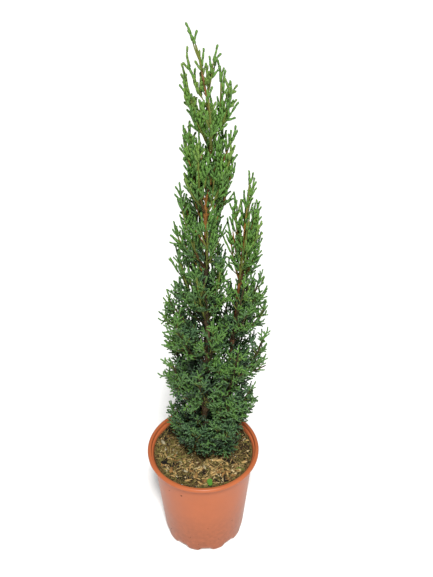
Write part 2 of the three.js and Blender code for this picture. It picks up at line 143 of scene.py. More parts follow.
# %% Hand a piece to the frame
def show_piece(name, mesh, materials, nodes=()):
    """Puts a mesh in the scene as a finished piece that stands for some CAD nodes."""
    piece = bpy.data.objects.new(name, mesh)
    bpy.context.scene.collection.objects.link(piece)
    for material in materials:
        mesh.materials.append(material)
    mesh.shade_smooth()
    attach(piece, "root")
    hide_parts(*nodes)
    print(name, "has", sum(len(face.vertices) - 2 for face in mesh.polygons), "triangles")


# %% [markdown]
# Floor and light
#
# The studio is plain: a pale floor that runs far past the picture, and two soft lights. A dim white
# surround fills the shadows, and where the camera looks past the floor it sees a white backdrop. The
# key is distant and broad, above and in front, and lights the floor evenly to its far end. A low soft
# box in front draws the bright line on the pot's lip.

# %% Floor
FLOOR_HALF_M = 9
FLOOR_DROP = 0.2 * MM

bm = bmesh.new()
bmesh.ops.create_grid(bm, x_segments=1, y_segments=1, size=FLOOR_HALF_M)
bmesh.ops.translate(bm, verts=bm.verts, vec=(0, 0, -FLOOR_DROP))
floor_mesh = bpy.data.meshes.new("floor")
bm.to_mesh(floor_mesh)
bm.free()
floor = bpy.data.objects.new("floor", floor_mesh)
bpy.context.scene.collection.objects.link(floor)
floor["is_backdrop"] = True

# Matt studio paper: pale, with no gloss to mirror the pot.
paper, _, paper_shader, _ = new_material("studio_paper", roughness=0.9)
paper_shader.inputs["Base Color"].default_value = linear_colour("#f7f7f5")
paper_shader.inputs["Specular IOR Level"].default_value = 0.1
floor_mesh.materials.append(paper)
print("floor:", 2 * FLOOR_HALF_M, "m wide")

# %% White surround
WHITE = (1, 1, 1, 1)
SURROUND_STRENGTH = 0.13
BACKDROP_STRENGTH = 1

surround = bpy.data.worlds.new("white_surround")
surround.use_nodes = True
sky = surround.node_tree
fill = sky.nodes["Background"]
fill.inputs["Color"].default_value = WHITE
fill.inputs["Strength"].default_value = SURROUND_STRENGTH
backdrop = add_node(sky, "ShaderNodeBackground", {"Color": WHITE, "Strength": BACKDROP_STRENGTH})
seen = add_node(sky, "ShaderNodeLightPath").outputs["Is Camera Ray"]
either = add_node(sky, "ShaderNodeMixShader", {0: seen, 1: fill.outputs[0], 2: backdrop.outputs[0]})
sky.links.new(either.outputs[0], sky.nodes["World Output"].inputs["Surface"])
bpy.context.scene.world = surround
bpy.context.scene.view_settings.view_transform = "Standard"
print("surround:", surround.name)

# %% Two soft lights
KEY_PLACE = Vector((0.08, -0.58, 1.0))
KEY_TARGET = Vector((0, 0, 0))
KEY_STRENGTH = 4.2
KEY_ANGLE = math.radians(11)
FRONT_PLACE = Vector((0.3, -2.0, 0.62))
FRONT_TARGET = Vector((0, 0, 0.15))
FRONT_SIZE = (0.7, 0.25)
FRONT_WATTS = 8


def add_lamp(light, place, target):
    """Hangs a light at a place and points it at a target."""
    lamp = bpy.data.objects.new(light.name, light)
    lamp.location = place
    lamp.rotation_euler = (target - place).to_track_quat("-Z", "Y").to_euler()
    bpy.context.scene.collection.objects.link(lamp)


key = bpy.data.lights.new("key_light", "SUN")
key.energy = KEY_STRENGTH
key.angle = KEY_ANGLE
add_lamp(key, KEY_PLACE, KEY_TARGET)
front = bpy.data.lights.new("front_soft_box", "AREA")
front.shape = "RECTANGLE"
front.size, front.size_y = FRONT_SIZE
front.energy = FRONT_WATTS
add_lamp(front, FRONT_PLACE, FRONT_TARGET)
print("lights:", [light.name for light in bpy.data.lights])

# %% [markdown]
# The pot's shell
#
# The real pot is moulded in one shot of plastic: a thin tapering wall, a collar that stiffens its
# top, a rounded lip, a stacking shoulder inside, and ten drain notches that make the foot look
# scalloped. A body of revolution is a wire turned round the axis, so we draw half of its section,
# round each corner with a vertex bevel, and spin it. The notches then lift the foot's edge in waves.

# %% The pot's section
POT_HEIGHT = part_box("pot")[1].z / MM
RIM_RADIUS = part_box("pot")[1].x / MM
LIP_DROP = 4.7
LIP_INSIDE = 70
LIP_UNDERCUT = 0.3
LIP_DIP = 0.2
LIP_DRAFT = 0.4
COLLAR_RADIUS = 70.2
COLLAR_DROP = 8
COLLAR_SLOPE = 2.5
WALL_TOP_RADIUS = 67.4
WALL_FOOT_RADIUS = 55.5
SHOULDER_DROP = 5
SHOULDER_RADIUS = 67.8
INNER_DROP = 8.5
INNER_RADIUS = 66.4
WALL = 1.3
POT_FLOOR = 2
FOOT_ROUND = 7
WALL_RINGS = [0.08, 0.11, 0.15, 0.2, 0.4, 0.6, 0.8]

Corner = namedtuple("Corner", "radius height rounding")
lip_foot = POT_HEIGHT - LIP_DROP
wall_top = POT_HEIGHT - COLLAR_DROP - COLLAR_SLOPE


def between(low, high, share):
    return low + (high - low) * share


def wall_radius(height):
    """The pot wall's outer radius at a height."""
    return between(WALL_FOOT_RADIUS, WALL_TOP_RADIUS, height / wall_top)


POT_SECTION = [
    Corner(0, 0, 0),
    Corner(WALL_FOOT_RADIUS, 0, FOOT_ROUND),
    *(Corner(wall_radius(wall_top * share), wall_top * share, 0) for share in WALL_RINGS),
    Corner(WALL_TOP_RADIUS, wall_top, 0.6),
    Corner(COLLAR_RADIUS, POT_HEIGHT - COLLAR_DROP, 0.6),
    Corner(COLLAR_RADIUS, lip_foot, 0.4),
    Corner(RIM_RADIUS - LIP_UNDERCUT, lip_foot, 0.8),
    Corner(RIM_RADIUS, POT_HEIGHT, 3.2),
    Corner(LIP_INSIDE, POT_HEIGHT - LIP_DIP, 0.7),
    Corner(LIP_INSIDE - LIP_DRAFT, POT_HEIGHT - SHOULDER_DROP, 0.2),
    Corner(SHOULDER_RADIUS, POT_HEIGHT - SHOULDER_DROP - LIP_DRAFT, 0.4),
    Corner(INNER_RADIUS, POT_HEIGHT - INNER_DROP, 0.5),
    Corner(WALL_FOOT_RADIUS - WALL, FOOT_ROUND, 3),
    Corner(WALL_FOOT_RADIUS - FOOT_ROUND, POT_FLOOR, 2),
    Corner(0, POT_FLOOR, 0),
]
print("pot section:", len(POT_SECTION), "corners")

# %% Spin the section
FULL_TURN = 2 * math.pi
POT_STEPS = 240
ROUND_SEGMENTS = 5
WELD = 0.01


def spun_shell(section, steps):
    """A closed shell: the section's wire, its corners rounded, turned once round the upright axis."""
    shell = bmesh.new()
    points = [shell.verts.new((corner.radius * MM, 0, corner.height * MM)) for corner in section]
    for low, high in zip(points, points[1:]):
        shell.edges.new((low, high))
    for point, corner in zip(points, section):
        if corner.rounding > 0:
            bmesh.ops.bevel(
                shell, geom=[point], offset=corner.rounding * MM, affect="VERTICES",
                segments=ROUND_SEGMENTS, profile=0.5, material=-1,
            )
    bmesh.ops.spin(
        shell, geom=shell.verts[:] + shell.edges[:], cent=(0, 0, 0), axis=(0, 0, 1), dvec=(0, 0, 0),
        angle=FULL_TURN, steps=steps, use_merge=True, use_duplicate=False,
    )
    bmesh.ops.remove_doubles(shell, verts=shell.verts, dist=WELD * MM)
    bmesh.ops.recalc_face_normals(shell, faces=shell.faces)
    return shell


pot = spun_shell(POT_SECTION, POT_STEPS)
print("pot section turned into", len(pot.faces), "faces")

# %% Lift the drain notches
NOTCHES = 10
NOTCH_TURN = math.radians(-85)
NOTCH_RISE = 4.6
NOTCH_RECESS = 1.6
NOTCH_HALF_WIDTH = 12
NOTCH_FLAT = 0.4
NOTCH_INNER_RADIUS = 40
NOTCH_EASE = 6
NOTCH_FADES_AT = 13


def smoothstep(low, high, value):
    share = np.clip((value - low) / (high - low), 0, 1)
    return share * share * (3 - 2 * share)


notch_step = FULL_TURN / NOTCHES
for point in pot.verts:
    height = point.co.z / MM
    radius = math.hypot(point.co.x, point.co.y) / MM
    if height < NOTCH_FADES_AT and radius > NOTCH_INNER_RADIUS:
        past_notch = (math.atan2(point.co.y, point.co.x) - NOTCH_TURN) / notch_step
        aside = abs(past_notch - round(past_notch)) * notch_step * radius
        wave = 1 - smoothstep(NOTCH_HALF_WIDTH * NOTCH_FLAT, NOTCH_HALF_WIDTH, aside)
        inside = smoothstep(NOTCH_INNER_RADIUS, NOTCH_INNER_RADIUS + NOTCH_EASE, radius)
        strength = wave * inside * (1 - height / NOTCH_FADES_AT)
        point.co.z += NOTCH_RISE * strength * MM
        point.co.xy *= 1 - NOTCH_RECESS * strength / radius
pot_mesh = bpy.data.meshes.new("pot_shell")
pot.to_mesh(pot_mesh)
pot.free()
print("drain notches:", NOTCHES)

# %% [markdown]
# The pot's plastic
#
# Polypropylene from a mould is satin: a faint grain softens its gloss, the colour clouds a little
# where the melt flowed, and at a flat angle it mirrors the white room, so its sides look dusty pink.
# Soil dust clings to the foot, and the darkening towards the foot is partly painted shade.

# %% Moulded polypropylene
CLOUD_MM = 22
# The mould's own grain is finer than this and would not show.
GRAIN_MM = 0.7
DUST_AND_SHADE_MM = 5
DUST_AND_SHADE_TOP_MM = 120

plastic, tree, shader, place = new_material("moulded_polypropylene", roughness=0.4, ior=1.49)
shader.inputs["Specular IOR Level"].default_value = 0.24
clouds = add_node(tree, "ShaderNodeTexNoise", {"Vector": place, "Scale": per_metre(CLOUD_MM), "Detail": 4})
clay = add_node(tree, "ShaderNodeMix", {
    0: clouds.outputs["Fac"], 6: linear_colour("#a65a34"), 7: linear_colour("#b4633c"),
}, data_type="RGBA")
height = add_node(tree, "ShaderNodeSeparateXYZ", {0: place}).outputs["Z"]
# Towards the foot the colour darkens: partly soil dust, partly painted shade.
near_foot = add_node(tree, "ShaderNodeMapRange", {
    "Value": height, "From Min": DUST_AND_SHADE_TOP_MM * MM, "From Max": 0, "To Max": 1,
}, interpolation_type="SMOOTHSTEP")
dust_and_shade_noise = add_node(tree, "ShaderNodeTexNoise", {"Vector": place, "Scale": per_metre(DUST_AND_SHADE_MM), "Detail": 6})
dust_and_shade_share = add_node(tree, "ShaderNodeMath", {
    0: near_foot.outputs[0], 1: dust_and_shade_noise.outputs["Fac"],
}, operation="MULTIPLY")
dusty_and_shaded = add_node(tree, "ShaderNodeMix", {
    0: dust_and_shade_share.outputs[0], 6: clay.outputs[2], 7: linear_colour("#6b3a20"),
}, data_type="RGBA")
grain = add_node(tree, "ShaderNodeTexNoise", {"Vector": place, "Scale": per_metre(GRAIN_MM), "Detail": 2})
relief = add_node(tree, "ShaderNodeBump", {
    "Height": grain.outputs["Fac"], "Strength": 0.12, "Distance": 0.2 * MM,
})
gloss = add_node(tree, "ShaderNodeMapRange", {
    "Value": clouds.outputs["Fac"], "To Min": 0.3, "To Max": 0.44,
})
tree.links.new(dusty_and_shaded.outputs[2], shader.inputs["Base Color"])
tree.links.new(gloss.outputs[0], shader.inputs["Roughness"])
tree.links.new(relief.outputs[0], shader.inputs["Normal"])
show_piece("pot_shell", pot_mesh, [plastic], ["pot"])

# %% [markdown]
# The soil
#
# The pot is filled with peat that watering has pushed up against the wall, so it lies in a shallow
# dish. Its surface is never flat: it has lumps as wide as a thumb and crumbs as small as a seed. We
# spin a section that follows the wall and has many rings on top, then move the top's vertices by one
# height function. The same function later tells every chip and fibre where to lie.

# %% The soil's surface
SOIL_CENTRE = 145.5
SOIL_BANK = 148.2
SOIL_LUMP = 1.1
SOIL_WAVE = 8
FOOT_DISC = 21
SOIL_EDGE = 66.4
CLOD_MM = 8
CLOD_DEPTH = 2
CRUMB_MM = 2.8
CRUMB_DEPTH = 0.9
CRUMB_SLICE = 50


def soil_height(x, y):
    """The height of the soil's surface, in millimetres, at a place seen from above."""
    outwards = math.hypot(x, y)
    dish = SOIL_CENTRE + (SOIL_BANK - SOIL_CENTRE) * smoothstep(FOOT_DISC, SOIL_EDGE, outwards)
    lumps = math.sin(x / SOIL_WAVE + 1) * math.cos(y / SOIL_WAVE) + math.sin((x - 2 * y) / (2 * SOIL_WAVE))
    clods = CLOD_DEPTH * noise.noise(Vector((x, y, 0)) / CLOD_MM)
    crumbs = CRUMB_DEPTH * noise.noise(Vector((x, y, CRUMB_SLICE)) / CRUMB_MM)
    loose = smoothstep(FOOT_DISC, 2 * FOOT_DISC, outwards)
    return dish + SOIL_LUMP * lumps * loose + clods + crumbs


# %% Spin the soil
SOIL_GAP = 0.3
RINGS_LEVEL = 143
SOIL_RINGS = 60
SOIL_STEPS = 220

soil_section = [
    Corner(0, POT_FLOOR + SOIL_GAP, 0),
    Corner(WALL_FOOT_RADIUS - FOOT_ROUND - SOIL_GAP, POT_FLOOR + SOIL_GAP, 0),
    Corner(WALL_FOOT_RADIUS - WALL - 2 * SOIL_GAP, FOOT_ROUND + SOIL_GAP, 0),
]
# The top's rings are spun level, and then each of their vertices gets the surface's own height.
soil_section += [Corner(SOIL_EDGE * (1 - i / SOIL_RINGS), RINGS_LEVEL, 0) for i in range(SOIL_RINGS + 1)]
soil = spun_shell(soil_section, SOIL_STEPS)
for point in soil.verts:
    if point.co.z > (RINGS_LEVEL - 1) * MM:
        point.co.z = soil_height(point.co.x / MM, point.co.y / MM) * MM
soil_mesh = bpy.data.meshes.new("soil_bed")
soil.to_mesh(soil_mesh)
soil.free()
print("soil turned into", len(soil_mesh.polygons), "faces")

# %% Damp peat
PEAT_GRAIN_MM = 3
MOSS_PATCH_MM = 11


def paint_ramp(ramp, stops):
    """Gives a colour ramp its stops, a list of (position from 0 to 1, hex colour)."""
    for element, (position, hex_text) in zip(list(ramp.elements), (stops[0], stops[-1])):
        element.position = position
        element.color = linear_colour(hex_text)
    for position, hex_text in stops[1:-1]:
        ramp.elements.new(position).color = linear_colour(hex_text)


# Damp peat: dark, crumbly and without gloss, with olive moss in patches.
peat, tree, shader, place = new_material("damp_peat", roughness=0.95)
shader.inputs["Specular IOR Level"].default_value = 0.2
crumb = add_node(tree, "ShaderNodeTexNoise", {
    "Vector": place, "Scale": per_metre(PEAT_GRAIN_MM), "Detail": 6,
})
browns = add_node(tree, "ShaderNodeValToRGB", {0: crumb.outputs["Fac"]})
paint_ramp(browns.color_ramp, [(0.34, "#1b130a"), (0.66, "#6f5a35")])
patches = add_node(tree, "ShaderNodeTexNoise", {
    "Vector": place, "Scale": per_metre(MOSS_PATCH_MM), "Detail": 3,
})
moss_share = add_node(tree, "ShaderNodeMapRange", {
    "Value": patches.outputs["Fac"], "From Min": 0.45, "From Max": 0.65, "To Max": 0.6,
})
mossy = add_node(tree, "ShaderNodeMix", {
    0: moss_share.outputs[0], 6: browns.outputs[0], 7: linear_colour("#625c30"),
}, data_type="RGBA")
relief = add_node(tree, "ShaderNodeBump", {
    "Height": crumb.outputs["Fac"], "Strength": 0.6, "Distance": 0.6 * MM,
})
tree.links.new(mossy.outputs[2], shader.inputs["Base Color"])
tree.links.new(relief.outputs[0], shader.inputs["Normal"])
show_piece("soil_bed", soil_mesh, [peat], ["soil"])

# %% [markdown]
# Many small things from arrays
#
# The litter and the foliage are tens of thousands of small closed shapes. Making each one with an
# operator would be slow, so here numpy works out all their corners at once. A shoot is a curve
# foot + reach * s + curl * s * s, and a tube round it starts and ends in a point, so it is closed.
# The same tubes serve for fibres, twigs and leafy branchlets.

# %% Shoots
def unit(vectors):
    return vectors / np.linalg.norm(vectors, axis=-1, keepdims=True)


class Shoots:
    """Many shoots at once, each a curve foot + reach * s + curl * s * s for s from 0 to 1."""

    def __init__(self, foot, reach, curl, spray):
        self.foot = foot
        self.reach = reach
        self.curl = curl
        self.spray = spray

    def place(self, share):
        return self.foot + self.reach * share + self.curl * share * share

    def along(self, share):
        return unit(self.reach + 2 * self.curl * share)

    def lengths(self):
        return np.linalg.norm(self.reach + self.curl, axis=1)

    def picked(self, which):
        return Shoots(self.foot[which], self.reach[which], self.curl[which], self.spray[which])

    def stretch(self, start, end):
        """The part of each shoot between two shares, as shoots of their own."""
        reach = (self.reach + 2 * self.curl * start) * (end - start)
        return Shoots(self.place(start), reach, self.curl * (end - start) ** 2, self.spray)


# %% Tubes round shoots
# Keeps a direction from vanishing where two vectors run the same way.
NEARLY_ZERO = 1e-9
# A direction that hardly any shoot follows, from which the rings of the tubes are turned.
ODD_DIRECTION = np.array([0.31, 0.17, 0.94])


def tube_faces(rings, sides):
    """The triangles of one closed tube: a point, some rings, and a point."""
    faces = []
    last = 1 + rings * sides
    for k in range(sides):
        n = (k + 1) % sides
        faces.append((0, 1 + n, 1 + k))
        for ring in range(rings - 1):
            low = 1 + ring * sides
            high = low + sides
            faces.append((low + k, low + n, high + n))
            faces.append((low + k, high + n, high + k))
        faces.append((last - sides + k, last - sides + n, last))
    return np.array(faces)


def tubes(shoots, radii, swell, sides):
    """Tubes round shoots. The swell is a list of (share, part of the radius), one for each ring."""
    count = len(shoots.foot)
    corners = np.empty((count, 2 + len(swell) * sides, 3))
    corners[:, 0] = shoots.place(0.0)
    corners[:, -1] = shoots.place(1.0)
    turns = FULL_TURN * np.arange(sides) / sides
    for ring, (share, part) in enumerate(swell):
        along = shoots.along(share)
        beside = unit(np.cross(along, ODD_DIRECTION) + NEARLY_ZERO)
        front = np.cross(along, beside)
        spoke = beside[:, None] * np.cos(turns)[:, None] + front[:, None] * np.sin(turns)[:, None]
        start = 1 + ring * sides
        ring_radii = (radii * part)[:, None, None]
        corners[:, start:start + sides] = shoots.place(share)[:, None] + spoke * ring_radii
    faces = tube_faces(len(swell), sides)[None] + (np.arange(count) * corners.shape[1])[:, None, None]
    return corners.reshape(-1, 3), faces.reshape(-1, 3)


# %% One mesh from many parts
def joined_mesh(name, parts):
    """One mesh from several (corners, faces) arrays whose corners are in millimetres."""
    offset = 0
    all_corners = []
    all_faces = []
    for corners, faces in parts:
        all_corners.append(corners)
        all_faces.append(faces + offset)
        offset += len(corners)
    mesh = bpy.data.meshes.new(name)
    mesh.from_pydata((np.concatenate(all_corners) * MM).tolist(), [], np.concatenate(all_faces).tolist())
    mesh.update()
    return mesh


# %% [markdown]
# The litter on the soil
#
# The photograph shows wood chips, straw-like fibres, moss and a few black bits, all of them lying at
# odd angles. Chips are flat splinters with six corners, crumbs are knocked-about octahedra, and
# fibres are bent tubes. Each kind comes in a few plain tints, with one joined piece for each tint,
# because one tint for all would look like plastic.

# %% Shapes of crumbs and chips
CRUMB_CORNERS = np.array([[1, 0, 0], [-1, 0, 0], [0, 1, 0], [0, -1, 0], [0, 0, 1], [0, 0, -1]], float)
CRUMB_FACES = np.array([
    [0, 2, 4], [2, 1, 4], [1, 3, 4], [3, 0, 4], [2, 0, 5], [1, 2, 5], [3, 1, 5], [0, 3, 5],
])
CHIP_OUTLINE = [(-0.5, -0.1), (-0.25, -0.5), (0.38, -0.42), (0.5, 0.12), (0.1, 0.5), (-0.4, 0.36)]


def chip_shape():
    """A splinter of length, width and thickness 1: two outlines joined by a wall."""
    count = len(CHIP_OUTLINE)
    corners = [(x, y, z) for z in (-0.5, 0.5) for x, y in CHIP_OUTLINE]
    faces = []
    for i in range(count):
        n = (i + 1) % count
        faces += [(i, n, count + n), (i, count + n, count + i)]
    for i in range(1, count - 1):
        faces += [(0, i + 1, i), (count, count + i, count + i + 1)]
    return np.array(corners), np.array(faces)


# %% Scatter a shape over the soil
SCATTER_SEED = 28
EDGE_MARGIN = 1
HEAP_MARGIN = 4
dice = np.random.default_rng(SCATTER_SEED)


def turned(spin, tilt, lean):
    """Matrices that turn things about the upright axis after tilting and leaning them."""
    zero, one = np.zeros_like(spin), np.ones_like(spin)
    about_z = [[np.cos(spin), -np.sin(spin), zero], [np.sin(spin), np.cos(spin), zero], [zero, zero, one]]
    about_y = [[np.cos(tilt), zero, np.sin(tilt)], [zero, one, zero], [-np.sin(tilt), zero, np.cos(tilt)]]
    about_x = [[one, zero, zero], [zero, np.cos(lean), -np.sin(lean)], [zero, np.sin(lean), np.cos(lean)]]
    z, y, x = (np.moveaxis(np.array(m), -1, 0) for m in (about_z, about_y, about_x))
    return z @ y @ x


def scattered(corners, faces, places, sizes, turns, roughness):
    """Copies of one shape, each scaled, knocked out of true, turned and moved to its place."""
    copies = corners[None] * (1 + dice.uniform(-roughness, roughness, (len(places), *corners.shape)))
    copies = np.einsum("nij,nkj->nki", turns, copies * sizes[:, None]) + places[:, None]
    offsets = (np.arange(len(places)) * len(corners))[:, None, None]
    return copies.reshape(-1, 3), (faces[None] + offsets).reshape(-1, 3)


def soil_places(count, lift, heap=None):
    """Places on the soil, strewn evenly or gathered in a heap (x, y, width, depth)."""
    if heap is None:
        radius = (SOIL_EDGE - EDGE_MARGIN) * np.sqrt(dice.uniform(0, 1, count))
        angle = dice.uniform(0, FULL_TURN, count)
        x, y = radius * np.cos(angle), radius * np.sin(angle)
    else:
        x, y = (dice.normal(heap[i], heap[i + 2] / 2, count) for i in (0, 1))
        inside = np.minimum(1, (SOIL_EDGE - HEAP_MARGIN) / np.hypot(x, y))
        x, y = x * inside, y * inside
    z = np.array([soil_height(a, b) for a, b in zip(x, y)]) + lift
    return np.stack([x, y, z], axis=1)


# %% Crumbs and fibres strewn over the soil
CRUMB_LIFT = 0.2
CRUMB_SQUASH = (0.5, 1)
CRUMB_ROUGHNESS = 0.25
FIBRE_LIFT = 0.6
FIBRE_RISE = (-0.1, 0.4)
FIBRE_CROOK = 0.25
FIBRE_DROOP = 0.9
FIBRE_VARIES = (0.6, 1.3)
FIBRE_SWELL = [(0.1, 0.8), (0.5, 1), (0.85, 0.7)]
FIBRE_SIDES = 3
UP = np.array([0.0, 0.0, 1.0])


def strewn_crumbs(count, smallest, largest, heap=None, lift=CRUMB_LIFT):
    sizes = dice.uniform(smallest, largest, (count, 1)) * dice.uniform(*CRUMB_SQUASH, (count, 3)) / 2
    turns = turned(*dice.uniform(0, FULL_TURN, (3, count)))
    places = soil_places(count, lift, heap)
    return scattered(CRUMB_CORNERS, CRUMB_FACES, places, sizes, turns, CRUMB_ROUGHNESS)


def strewn_fibres(count, shortest, longest, thickness, heap=None):
    foot = soil_places(count, FIBRE_LIFT, heap)
    angle = dice.uniform(0, FULL_TURN, count)
    rise = dice.uniform(*FIBRE_RISE, count)
    length = dice.uniform(shortest, longest, count)
    reach = np.stack([np.cos(angle), np.sin(angle), rise], axis=1) * length[:, None]
    droop = UP * (rise * length * FIBRE_DROOP)[:, None]
    curl = dice.normal(0, FIBRE_CROOK, (count, 3)) * length[:, None] - droop
    fibres = Shoots(foot, reach, curl, np.zeros(count, int))
    ends = fibres.place(1.0)
    fibres = fibres.picked(np.hypot(ends[:, 0], ends[:, 1]) < SOIL_EDGE - EDGE_MARGIN)
    radii = dice.uniform(*FIBRE_VARIES, len(fibres.foot)) * thickness / 2
    return tubes(fibres, radii, FIBRE_SWELL, FIBRE_SIDES)


# %% Chips strewn over the soil
CHIP_LIFT = 0.7
CHIP_MARGIN = 6
CHIP_WIDTHS = (0.2, 0.45)
CHIP_THICKNESSES = (0.6, 1.4)
CHIP_TILT = 0.3
CHIP_LEAN = 0.4
CHIP_ROUGHNESS = 0.22


def strewn_chips(count, shortest, longest, heap=None):
    length = dice.uniform(shortest, longest, count)
    width = length * dice.uniform(*CHIP_WIDTHS, count)
    sizes = np.stack([length, width, dice.uniform(*CHIP_THICKNESSES, count)], axis=1)
    places = soil_places(count, CHIP_LIFT, heap)
    inside = np.minimum(1, (SOIL_EDGE - CHIP_MARGIN) / np.hypot(places[:, 0], places[:, 1]))
    places[:, :2] *= inside[:, None]
    spin = dice.uniform(0, FULL_TURN, count)
    turns = turned(spin, dice.normal(0, CHIP_TILT, count), dice.normal(0, CHIP_LEAN, count))
    return scattered(*chip_shape(), places, sizes, turns, CHIP_ROUGHNESS)


# %% Scraps of plant stuff
def shaded(colour, factor):
    """A linear colour, darker or brighter."""
    return [min(1, channel * factor) for channel in colour[:3]] + [1]


def scrap_material(name, hex_text, speckle_mm, contrast):
    """A matt scrap of plant stuff whose colour is mottled a little by its fibres."""
    material, tree, shader, place = new_material(name, roughness=0.85)
    shader.inputs["Specular IOR Level"].default_value = 0.25
    colour = linear_colour(hex_text)
    mottle = add_node(tree, "ShaderNodeTexNoise", {
        "Vector": place, "Scale": per_metre(speckle_mm), "Detail": 3,
    })
    tint = add_node(tree, "ShaderNodeMix", {
        0: mottle.outputs["Fac"], 6: shaded(colour, 1 - contrast), 7: shaded(colour, 1 + contrast),
    }, data_type="RGBA")
    tree.links.new(tint.outputs[2], shader.inputs["Base Color"])
    return material


# %% Chips that stand out
# Each is given by its tint, its place on the soil, its length and width, and its turn.
PlacedChip = namedtuple("PlacedChip", "tint x y length width turn")
PLACED_CHIPS = [
    PlacedChip("tan", 55.5, -20.6, 10, 3.6, 35),
    PlacedChip("pale", -6.5, -22.7, 5.5, 3, 60),
    PlacedChip("pale", -7.4, -32.2, 6, 1.8, 20),
    PlacedChip("brown", -6.7, -43.9, 15, 4.2, 88),
    PlacedChip("tan", -45.8, -31.4, 9, 3.6, -25),
    PlacedChip("tan", -23.8, -21.9, 9, 3.4, -60),
    PlacedChip("tan", 33.8, -32.7, 8, 3, -25),
    PlacedChip("grey", -21.8, -37.5, 8, 3, -15),
    PlacedChip("grey", -55, 8.5, 10, 3.6, -50),
    PlacedChip("grey", 3.2, -28.6, 8, 2.6, -60),
    PlacedChip("pale", 14.7, -16.9, 7, 3, 30),
]
PLACED_LIFT = 1.4
PLACED_THICKNESS = 1.2
PLACED_TILT = 0.12
PLACED_ROUGHNESS = 0.12


def placed_chips(tint):
    chips = [chip for chip in PLACED_CHIPS if chip.tint == tint]
    places = np.array([(chip.x, chip.y, soil_height(chip.x, chip.y) + PLACED_LIFT) for chip in chips])
    sizes = np.array([(chip.length, chip.width, PLACED_THICKNESS) for chip in chips])
    tilt = np.full(len(chips), PLACED_TILT)
    turns = turned(np.radians([chip.turn for chip in chips]), tilt, tilt)
    return scattered(*chip_shape(), places, sizes, turns, PLACED_ROUGHNESS)


# %% Every kind of litter
# A heap is given by its place, width and depth.
BLACK_HEAPS = [(-40, -29, 9, 6), (-47, 38, 7, 5), (-50, -24, 5, 8)]
# Heaps of dark crumbs along the wall and at the right stand partly for painted shade from the lip and the
# foliage.
DARK_CRUMB_AND_SHADE_HEAPS = [
    (56, -2, 9, 24), (50, 22, 16, 16), (-22, -48, 12, 7), (26, -50, 12, 7),
    (-54, 18, 8, 18), (0, -40, 8, 6), (38, -18, 10, 8),
]
FRONT_HEAP = (14, -36, 46, 24)
LEFT_HEAP = (-42, -8, 26, 50)
HEAP_LIFT = 1.2
THIN_FIBRE = 0.9
BARK_FIBRE = 1.0

# Every strewing has a count and its smallest and largest size, and fibres have a thickness too.
Litter = namedtuple("Litter", "name tint parts")
LITTER = [
    Litter("peat_crumbs_dark", "#241b12", [
        strewn_crumbs(1500, 1, 3.2), *(strewn_crumbs(110, 1.2, 3.2, heap, HEAP_LIFT) for heap in DARK_CRUMB_AND_SHADE_HEAPS),
    ]),
    Litter("peat_crumbs_brown", "#6a5333", [strewn_crumbs(1100, 1, 3)]),
    Litter("moss_crumbs", "#6c6835", [strewn_crumbs(700, 1, 2.6), strewn_crumbs(200, 1, 2.6, LEFT_HEAP)]),
    Litter("straw_fibres", "#b29a66", [
        strewn_fibres(420, 5, 13, THIN_FIBRE), strewn_fibres(160, 5, 12, THIN_FIBRE, FRONT_HEAP),
    ]),
    Litter("moss_fibres", "#80783f", [
        strewn_fibres(800, 3, 8, THIN_FIBRE), strewn_fibres(220, 3, 8, THIN_FIBRE, LEFT_HEAP),
    ]),
    Litter("bark_fibres", "#553e24", [strewn_fibres(420, 4, 11, BARK_FIBRE)]),
    Litter("wood_chips_pale", "#cbb587", [
        strewn_chips(12, 3, 7), strewn_chips(22, 4, 8, FRONT_HEAP), placed_chips("pale"),
    ]),
    Litter("wood_chips_tan", "#b6965f", [
        strewn_chips(32, 4, 10), strewn_chips(32, 5, 11, FRONT_HEAP), placed_chips("tan"),
    ]),
    Litter("wood_chips_brown", "#8f6a3c", [
        strewn_chips(36, 4, 11), strewn_chips(16, 5, 10, FRONT_HEAP), placed_chips("brown"),
    ]),
    Litter("wood_chips_grey", "#a3997c", [
        strewn_chips(12, 3, 8), strewn_chips(12, 4, 8, LEFT_HEAP), placed_chips("grey"),
    ]),
    Litter("charcoal_bits", "#14120f", [
        strewn_crumbs(60, 1, 2.4), *(strewn_crumbs(60, 2, 4.5, heap, HEAP_LIFT) for heap in BLACK_HEAPS),
    ]),
    Litter("perlite_grains", "#e4e1d8", [strewn_crumbs(16, 0.9, 2)]),
]
for litter in LITTER:
    mesh = joined_mesh(litter.name, litter.parts)
    tint = scrap_material(litter.name, litter.tint, speckle_mm=1.5, contrast=0.35)
    show_piece(litter.name, mesh, [tint], ["soil"])

# %% [markdown]
# Soil on the wall
#
# Watering splashes the wall and leaves a few crumbs stuck to it. They are the same knocked-about
# shapes, pressed flat. Each has its place: an angle from the front and a height.

# %% Crumbs stuck to the wall
Speck = namedtuple("Speck", "angle height size")
SPECKS = [
    Speck(-22.8, 127.3, 3.2), Speck(-40.2, 123.4, 1.9), Speck(-50.9, 24.9, 1.7), Speck(-28.1, 16.8, 1.6),
    Speck(-16.2, 33.3, 1.8), Speck(-5.3, 19.4, 1.4), Speck(-4.2, 9.3, 1.8), Speck(8, 59.5, 1.7),
    Speck(23.3, 27.8, 1.7), Speck(42.4, 58.6, 1.6),
]
SPECK_DEPTH = 0.4

